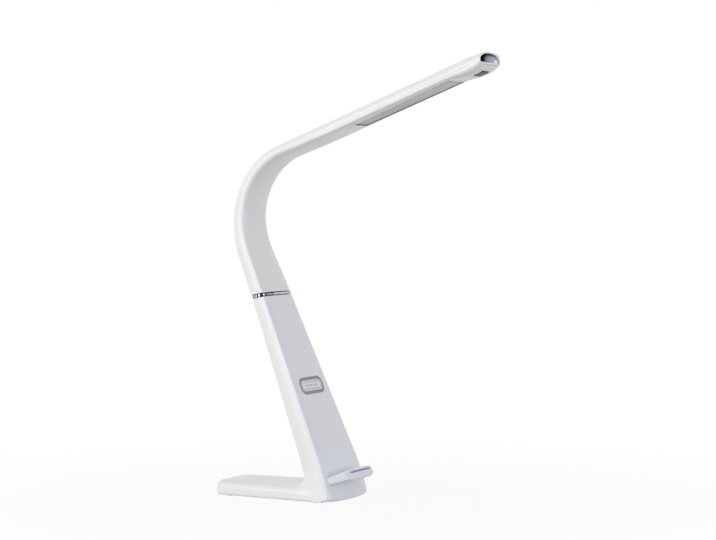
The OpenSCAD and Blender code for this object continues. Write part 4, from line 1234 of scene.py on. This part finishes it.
@dataclass
class Neck:
    """The neck and arm: the white back, the underside with its light panel and key, and the bright tip."""

    panel_from_tip: float = 33.0
    panel_len: float = 97.0
    panel_w_in: float = 23.0
    panel_w_out: float = 30.0
    panel_corner: float = 0.5
    panel_margin: float = 0.8
    crown_len: float = 0.8
    crown_h: float = 0.35
    diffuser_t: float = 1.6
    diffuser_inset: float = 0.5
    # The dark band of painted shade in the gap round the panel: how far it lies inside the outline, and how
    # deep.
    shade_band_in: tuple[float, float] = (0.04, 0.34)
    shade_band_deep: tuple[float, float] = (0.02, 0.75)
    key_w: float = 13.6
    key_l: float = 8.8
    key_corner: float = 1.2
    key_margin: float = 0.9
    key_proud: float = 0.3
    flange_top: float = 3.3
    flange_low: float = 4.2
    flange_out: float = 0.8
    key_dot_d: float = 1.1
    plain_columns: tuple[float, ...] = (0.0, 3.0, 9.5, 12.0)
    rim_columns: int = 12
    stretch_counts: tuple[int, ...] = (12, 70, 50, 40)
    row_gap: float = 0.35
    mouth_wall: float = 0.5
    mouth_from: float = 5.0
    dish: float = 4.2
    dish_off: float = -0.4
    dish_half: float = 19.55
    dish_edge: float = 3.6
    dish_top: float = 9.8
    dish_floor: float = 1.9
    dish_high_p: float = 2.15
    dish_low_p: float = 5.0

    def __post_init__(self) -> None:
        """Works out where the light panel and the key lie along the arm."""
        self.panel_at = LINES.arm_len - self.panel_from_tip - self.panel_len
        self.key_at = LINES.arm_len - LINES.key_from_tip
        along, across = self.key_l / 2 + LINES.fit, self.key_w / 2 + LINES.fit
        self.windows = (
            Window(self.panel_at, self.panel_at + self.panel_len, self.panel_w_in / 2, self.panel_w_out / 2,
                   self.panel_corner, self.panel_margin),
            Window(self.key_at - along, self.key_at + along, across, across, self.key_corner + LINES.fit,
                   self.key_margin))

    def lengths(self) -> Array:
        """The lengths along the neck that have a station, in four stretches.

        Returns:
            The lengths, from the ring to the tip.
        """
        near_tip = LINES.tip_at - LINES.bulge_len
        stops = (0.0, LINES.neck_straight, LINES.arm_at, near_tip, LINES.tip_at)
        parts = [np.linspace(a, b, count) for a, b, count in zip(stops, stops[1:], self.stretch_counts)]
        return np.unique(np.concatenate(parts).round(4))

    def shell(self) -> Piece:
        """The white back of the neck and arm, a closed band whose wall thins at the tip.

        Returns:
            The piece.
        """
        lengths = self.lengths()
        line = LINES.neck(lengths)
        wall = blend(LINES.wall, self.mouth_wall, lengths - (LINES.tip_at - self.mouth_from))
        grid = Grid().band(line.arch(), line.shrunk(wall).arch())
        return grid.piece("neck_back_moulding", "neck", WHITE, "white_shell", "neck_shell")

    def underside(self) -> Piece:
        """The underside, a grid over length and share of the width, with two windows cut out of it.

        Round each window the cells are left out, and a grid goes from their outline to the opening's own, so
        that the opening has round corners. Both lie on the same surface.

        Returns:
            The piece, with its wall and its edges as modifiers.
        """
        start = LINES.arm_at
        needed = np.concatenate([w.rows() for w in self.windows]) + start
        lengths = self.lengths()
        clear = np.all(np.abs(lengths[:, None] - needed[None, :]) > self.row_gap, axis=1)
        lengths = np.unique(np.concatenate([lengths[clear], needed]).round(4))
        half = LINES.neck_w / 2
        wide = np.concatenate([*(w.columns() for w in self.windows), self.plain_columns]) / half
        flat = np.unique(np.concatenate([-wide, wide]).round(6))
        line = LINES.neck(lengths)
        shares = line.tray_shares(flat, self.rim_columns)
        skip = np.zeros((len(lengths) - 1, shares.shape[1] - 1), bool)
        toward = np.array([0.0, 0.5, 0.8, 1.0])[:, None, None]
        grid = Grid()
        for window in self.windows:
            low, high = (np.argmin(np.abs(lengths - start - window.rows()[at])) for at in (1, -2))
            right = np.argmin(np.abs(flat - window.columns()[-1] / half)) + self.rim_columns
            left = shares.shape[1] - 1 - right
            skip[low:high, left:right] = True
            i, j = np.arange(low, high), np.arange(left, right)
            rows = np.concatenate([i, np.full(len(j), high), i[::-1] + 1, np.full(len(j), low)])
            columns = np.concatenate([np.full(len(i), left), j, np.full(len(i), right), j[::-1] + 1])
            outer = np.stack([lengths[rows] - start, shares[rows, columns] * line.half[rows]], axis=-1)
            spread = outer + toward * (window.inner(outer) - outer)
            around = LINES.neck(spread[..., 0].ravel() + start)
            patch = around.tray(spread[..., 1].reshape(-1, 1) / around.half[:, None])
            grid.add(patch.reshape(4, -1, 3), closed=True)
        grid.add(line.tray(shares), skip=skip)
        # The underside's finish is painted shade: the white made slightly darker and bluer.
        piece = grid.piece("neck_underside", "neck", NECK_PAINTED_SHADE, "neck_panel", "neck_cover")
        wall = piece.modifiers.new("wall", "SOLIDIFY")
        wall.thickness = self.mouth_wall * MM
        wall.offset = -1.0
        wall.use_rim = True
        return soften(piece)

    def panel(self) -> Piece:
        """The frosted panel: a tapered plate that is slightly crowned, with soft edges.

        Returns:
            The piece.
        """
        along = np.linspace(0.0, 1.0, 40)[:, None]
        across = np.linspace(-1.0, 1.0, 21)[None, :]
        gap = LINES.fit
        x = self.panel_at + gap + along * (self.panel_len - 2 * gap)
        half = (self.panel_w_in + (self.panel_w_out - self.panel_w_in) * along) / 2 - gap
        rim = np.minimum(along, 1 - along) * self.panel_len / self.crown_len
        side = (1 - np.abs(across)) * half / self.crown_len
        soft = self.crown_h * (1 - np.sin(np.minimum(np.minimum(rim, side), 1.0) * np.pi / 2))
        grid = Grid()
        deep = np.full_like(soft, self.diffuser_inset + self.diffuser_t)
        top = grid.add(LINES.on_arm(x, half * across, self.diffuser_inset + soft))
        low = grid.add(LINES.on_arm(x, half * across, deep))
        for edge in ((0, slice(None)), (-1, slice(None)), (slice(None), 0), (slice(None), -1)):
            grid.strip(top[edge], low[edge])
        return grid.piece("light_panel_diffuser", "neck", FROST, "diffuser_grey", "diffuser", sharp=50.0)

    def gap_shade_band(self) -> Piece:
        """A dark band in the gap round the panel, which is painted shade for the recess: a thin band carried
        round the tapered outline.

        Returns:
            The piece.
        """
        half = np.array([self.panel_len, self.panel_w_out]) / 2
        line = outline(half, self.panel_corner, 240, half)
        near, far = self.shade_band_in
        inward = np.array([near, far, far, near])[:, None]
        x = line[:, 0] * (1 - inward / half[0])
        width = self.panel_w_in + (self.panel_w_out - self.panel_w_in) * (x / half[0] + 1) / 2
        y = line[:, 1] * width / self.panel_w_out * (1 - inward / half[1])
        along = self.panel_at + half[0] + x
        station = LINES.neck(along.ravel() + LINES.arm_at)
        surface = station.tray_depth(y.reshape(-1, 1) / station.half[:, None]).reshape(x.shape)
        top, low = self.shade_band_deep
        deep = np.array([top, top, low, low])[:, None] + surface * np.array([1.0, 1.0, 0.0, 0.0])[:, None]
        grid = Grid().loop(LINES.on_arm(along, y, deep))
        return grid.piece("light_panel_painted_gap_shade", "neck", GAP_SHADE_PAINTED, "diffuser_grey")

    def tip_ring(self, back: float, inset: float, dish_share: float = 1.0) -> Array:
        """A ring of points in the cut end, between the outline of the shell's inside and the dish's outline.

        Both have an upper half y = -w cos(a)^(2/p), n = e + (t - e) sin(a)^(2/p), and a lower half that goes
        from e to a flat floor in the same way with its own power. The dish lies a little off the middle.

        Args:
            back: how far the ring lies behind the end.
            inset: how far it lies inside its outline.
            dish_share: 0 for the shell's inside, 1 for the dish.

        Returns:
            The (M, 3) points.
        """
        end = LINES.neck(np.array([LINES.tip_at]))
        a = np.deg2rad(np.linspace(0.0, 360.0, 181)[:-1])
        upper = np.sin(a) >= 0.0
        cut = self.mouth_wall + 0.02 + inset
        shapes = ((0.0, end.half[0] - cut, end.edge[0], end.depth[0] - cut, cut, end.back_power[0],
                   end.face_power[0]),
                  (self.dish_off, self.dish_half - inset, self.dish_edge, self.dish_top - inset,
                   self.dish_floor + inset, self.dish_high_p, self.dish_low_p))
        rings = []
        for off, half, edge, top, floor, high_power, low_power in shapes:
            wide, rise = superellipse(a, np.where(upper, high_power, low_power))
            n = edge + np.where(upper, top - edge, edge - floor) * rise
            rings.append(np.stack([off - half * wide, n]))
        y, n = blend(rings[0], rings[1], dish_share)
        moved = replace(end, point=end.point - back * LINES.along_arm)
        return moved.place(y[None, :], n[None, :])[0]

    def tip(self) -> list[Piece]:
        """The cut end: a white lip in painted shade, a thin bright rim with painted glints at its right end,
        and a deep dish of chrome with a flat lower side, whose painted reflection is dark on its right and
        light on its left.

        The lip's and the rim's profiles give how far each ring lies behind the end and inside its outline.
        The dish's rings shrink towards its floor while they sink, as a quarter round does.

        Returns:
            The three pieces.
        """
        lip = Grid().loop(np.array([self.tip_ring(*ring) for ring in (
            (3.0, 0.0, 0.0), (0.04, 0.0, 0.0), (0.0, 0.05, 0.0), (0.0, -0.02), (0.06, 0.05), (0.2, 0.08),
            (3.0, 0.08))]))
        rim = Grid().loop(np.array([self.tip_ring(*ring) for ring in (
            (2.6, 0.1), (0.24, 0.1), (0.14, 0.14), (0.1, 0.22), (0.14, 0.32), (0.3, 0.38), (2.6, 0.38))]))
        first = self.tip_ring(0.22, 0.36)
        centre = first.mean(axis=0)
        turn = np.linspace(0.0, np.pi / 2, 26)[:, None, None]
        forward = upright(LINES.along_arm, 0.0)
        rows = centre + (first - centre) * np.cos(turn * 0.985) - self.dish * np.sin(turn) ** 0.8 * forward
        behind = first - (self.dish + 0.5) * forward
        dish = Grid().tube(np.concatenate([behind[None], rows]))
        return [lip.piece("tip_lip", "neck", NECK_PAINTED_SHADE, "neck_panel", sharp=60.0),
                rim.piece("tip_cap_rim", "neck", TIP_CHROME_PAINTED_GLINTS, "dark_chrome", "end_cap", sharp=60.0),
                dish.piece("tip_cap_dish", "neck", DARK_CHROME_PAINTED_REFLECTION, "dark_chrome", sharp=60.0)]

    def key_rings(self, half: Array, levels: Array, insets: Array, corner: float) -> Array:
        """Rings of a rounded rectangle at several depths.

        Args:
            half: its half length and half width.
            levels: the depth of each ring.
            insets: how far each ring lies inside the first.
            corner: the corner radius.

        Returns:
            The (N, M, 3) points.
        """
        line = outline(half, corner, 96)
        ring = line - insets[:, None, None] * outward(line, half, corner)
        deep = levels[:, None] - float(LINES.bulge(LINES.key_from_tip))
        return LINES.on_arm(self.key_at + ring[..., 0], ring[..., 1], deep)

    def key(self) -> list[Piece]:
        """The key's cap with a rolled edge and a flange, and the small light in its middle.

        Returns:
            The two pieces.
        """
        top = -self.key_proud
        levels = np.array([self.flange_low, self.flange_top, self.flange_top, 0.0, -0.16, -0.26, top, top])
        insets = np.array([-self.flange_out, -self.flange_out, 0.0, 0.0, 0.05, 0.16, 0.42, 1.15])
        rings = self.key_rings(np.array([self.key_l, self.key_w]) / 2, levels, insets, self.key_corner)
        centre = rings[-1].mean(axis=0)
        cap = Grid().tube(np.concatenate([rings, centre + (rings[-1:] - centre) * 0.5]))
        dot_r = self.key_dot_d / 2
        dot = Grid().tube(self.key_rings(np.full(2, dot_r), np.array([0.2, top - 0.03, top - 0.06]),
                                         np.array([0.0, 0.0, 0.25]), dot_r - 0.01))
        return [cap.piece("power_key_cap", "key", KEY_GREY, "key_grey", "power_key", sharp=50.0),
                dot.piece("power_key_light", "key", KEY_DOT, "blue_light", "key_light")]

    def build(self) -> list[Piece]:
        """Every piece of the neck and arm."""
        return [self.shell(), self.underside(), self.panel(), self.gap_shade_band(), *self.tip(), *self.key()]


@dataclass
class CarriedOver:
    """The CAD nodes that keep their own shape and get a finish: steel for those that aren't listed."""

    finishes: dict[str, Finish] = field(default_factory=lambda: {
        "base_cover": GREY_COVER, "post_cap": GREY_COVER, "neck_plug": GREY_COVER, "rubber_feet": RUBBER,
        "dc_inlet": BLACK, "inlet_lead": BLACK, "post_harness": BLACK, "arm_harness": BLACK,
        "charging_coil": COPPER, "ferrite_sheet": FERRITE, "charging_board": BOARD, "indicator_board": BOARD,
        "key_board": BOARD, "swivel_bush": BRASS, "thrust_washer": WASHER, "led_board": WHITE_BOARD,
        "led_chips": PHOSPHOR, "heat_spreader": ALUMINIUM, "collar_plate": CAST, "hinge_leaf": RING_CHROME_PAINTED_REFLECTION,
        "fold_pin": RING_CHROME_PAINTED_REFLECTION})

    def build(self) -> list[Piece]:
        """Gives every visible node its finish.

        Returns:
            The nodes.
        """
        shown = {name: node for name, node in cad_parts.items() if not node.hide_render}
        for name, node in shown.items():
            node.data.materials.clear()
            node.data.materials.append(self.finishes.get(name, STEEL).material())
        return list(shown.values())


# --- the studio ---


@dataclass
class Studio:
    """The camera, the pale floor and the lights. Its sizes are in metres."""

    camera_at: tuple[float, float, float] = (0.899118, -1.754609, 0.27007)
    turn: float = 27.1
    pitch: float = 2.09
    focal_px: float = 2300.0
    sensor: float = 36.0
    view_end: float = 100.0
    floor_size: float = 30.0
    floor_tone: float = 0.60
    near_white: float = 0.93
    fade: tuple[float, float] = (0.12, 0.5)
    light_level: float = 0.78
    light_above: float = 0.44
    level_up_to: float = 0.1

    def camera(self) -> None:
        """The camera at the photograph's viewing angle, level across the picture."""
        data = bpy.data.cameras.new("camera")
        data.sensor_fit = "HORIZONTAL"
        data.sensor_width = self.sensor
        data.lens = self.focal_px / PHOTO_WIDTH * self.sensor
        data.clip_end = self.view_end
        obj = in_scene("camera", data)
        a, p = math.radians(self.turn), math.radians(self.pitch)
        level, rise = Vector((-math.sin(a), math.cos(a), 0.0)), Vector((0, 0, 1))
        forward = level * math.cos(p) - rise * math.sin(p)
        up = rise * math.cos(p) + level * math.sin(p)
        turned = Matrix((forward.cross(up), up, -forward)).transposed().to_4x4()
        obj.matrix_world = Matrix.Translation(self.camera_at) @ turned
        bpy.context.scene.camera = obj

    def lit(self, tree: bpy.types.NodeTree, output: str, dim: Socket, bright: Socket,
            share: Value = 1.0) -> None:
        """Shows the bright shader to the camera, in gloss and through glass, and the dim one to other rays.

        Args:
            tree: the material's or the world's nodes.
            output: the type of the output node, without the word ShaderNodeOutput.
            dim: the shader that lights the lamp.
            bright: the shader that is seen.
            share: how much of the bright shader is seen.
        """
        nodes = Nodes(tree)
        rays = nodes.node("LightPath", {})
        seen = nodes.calc("MAXIMUM", rays["Is Camera Ray"], rays["Is Glossy Ray"])
        seen = nodes.calc("MAXIMUM", seen, rays["Is Transmission Ray"])
        mix = nodes.node("MixShader", {"Fac": nodes.calc("MULTIPLY", seen, share), 1: dim, 2: bright})
        nodes.node("Output" + output, {"Surface": mix["Shader"]})

    def floor(self) -> None:
        """A wide pale floor that keeps the lamp's shadow and is white to the camera further out."""
        axis = np.linspace(-self.floor_size / 2, self.floor_size / 2, 31) / MM
        x, y = np.meshgrid(axis, axis, indexing="ij")
        grid = Grid()
        grid.add(np.stack([x, y, np.zeros_like(x)], axis=-1))
        obj = grid.object("floor")
        made = bpy.data.materials.new("pale_floor")
        made.use_nodes = True
        made.node_tree.nodes.clear()
        nodes = Nodes(made.node_tree)
        far = nodes.node("VectorMath", {0: nodes.node("TexCoord", {})["Object"]}, operation="LENGTH")["Value"]
        paint = nodes.node("BsdfDiffuse", {"Color": (self.floor_tone,) * 3 + (1.0,)})["BSDF"]
        glow = nodes.node("Emission", {"Color": WHITE_LIGHT})["Emission"]
        self.lit(made.node_tree, "Material", paint, glow, nodes.span(far, self.near_white, 1.0, *self.fade))
        obj.data.materials.append(made)

    def world(self) -> None:
        """A world that is white to the camera and in gloss, and lights the lamp less from overhead."""
        world = bpy.data.worlds.new("studio")
        bpy.context.scene.world = world
        world.use_nodes = True
        world.node_tree.nodes.clear()
        nodes = Nodes(world.node_tree)
        up = nodes.axis(nodes.node("TexCoord", {})["Generated"], "Z")
        strength = nodes.span(up, self.light_level, self.light_above, self.level_up_to, 1.0)
        soft, white = (nodes.node("Background", {"Color": WHITE_LIGHT, "Strength": level})["Background"]
                       for level in (strength, 1.0))
        self.lit(world.node_tree, "World", soft, white)

    def softbox(self, name: str, place: tuple[float, float, float], aim: tuple[float, float, float],
                size: tuple[float, float], power: float) -> None:
        """An area light.

        Args:
            name: its name.
            place: where it hangs.
            aim: the point that it faces.
            size: its width and height.
            power: its power in watts.
        """
        data = bpy.data.lights.new(name, "AREA")
        data.shape = "RECTANGLE"
        data.size, data.size_y = size
        data.energy = power
        obj = in_scene(name, data)
        obj.location = place
        obj.rotation_euler = (Vector(aim) - Vector(place)).to_track_quat("-Z", "Y").to_euler()

    def build(self) -> None:
        """Sets the view transform and makes the camera, the floor, the world and the lights."""
        bpy.context.scene.view_settings.view_transform = "Standard"
        self.camera()
        self.floor()
        self.world()
        self.softbox("side_softbox", (-0.9, -2.2, 0.55), (-0.05, 0.0, 0.2), (1.2, 1.0), 23.0)
        self.softbox("front_softbox", (2.4, 0.5, 0.35), (0.0, 0.0, 0.1), (1.2, 0.6), 9.0)


def main() -> None:
    """Builds the studio and each sub-assembly, and reports their pieces."""
    logging.basicConfig(level=logging.INFO, format="%(name)s: %(message)s")
    Studio().build()
    for part in (Foot(), Ring(), Neck(), CarriedOver()):
        for piece in part.build():
            LOG.info("%s: %s, %d faces", type(part).__name__, piece.name, len(piece.data.polygons))


if __name__ == "__main__":
    main()
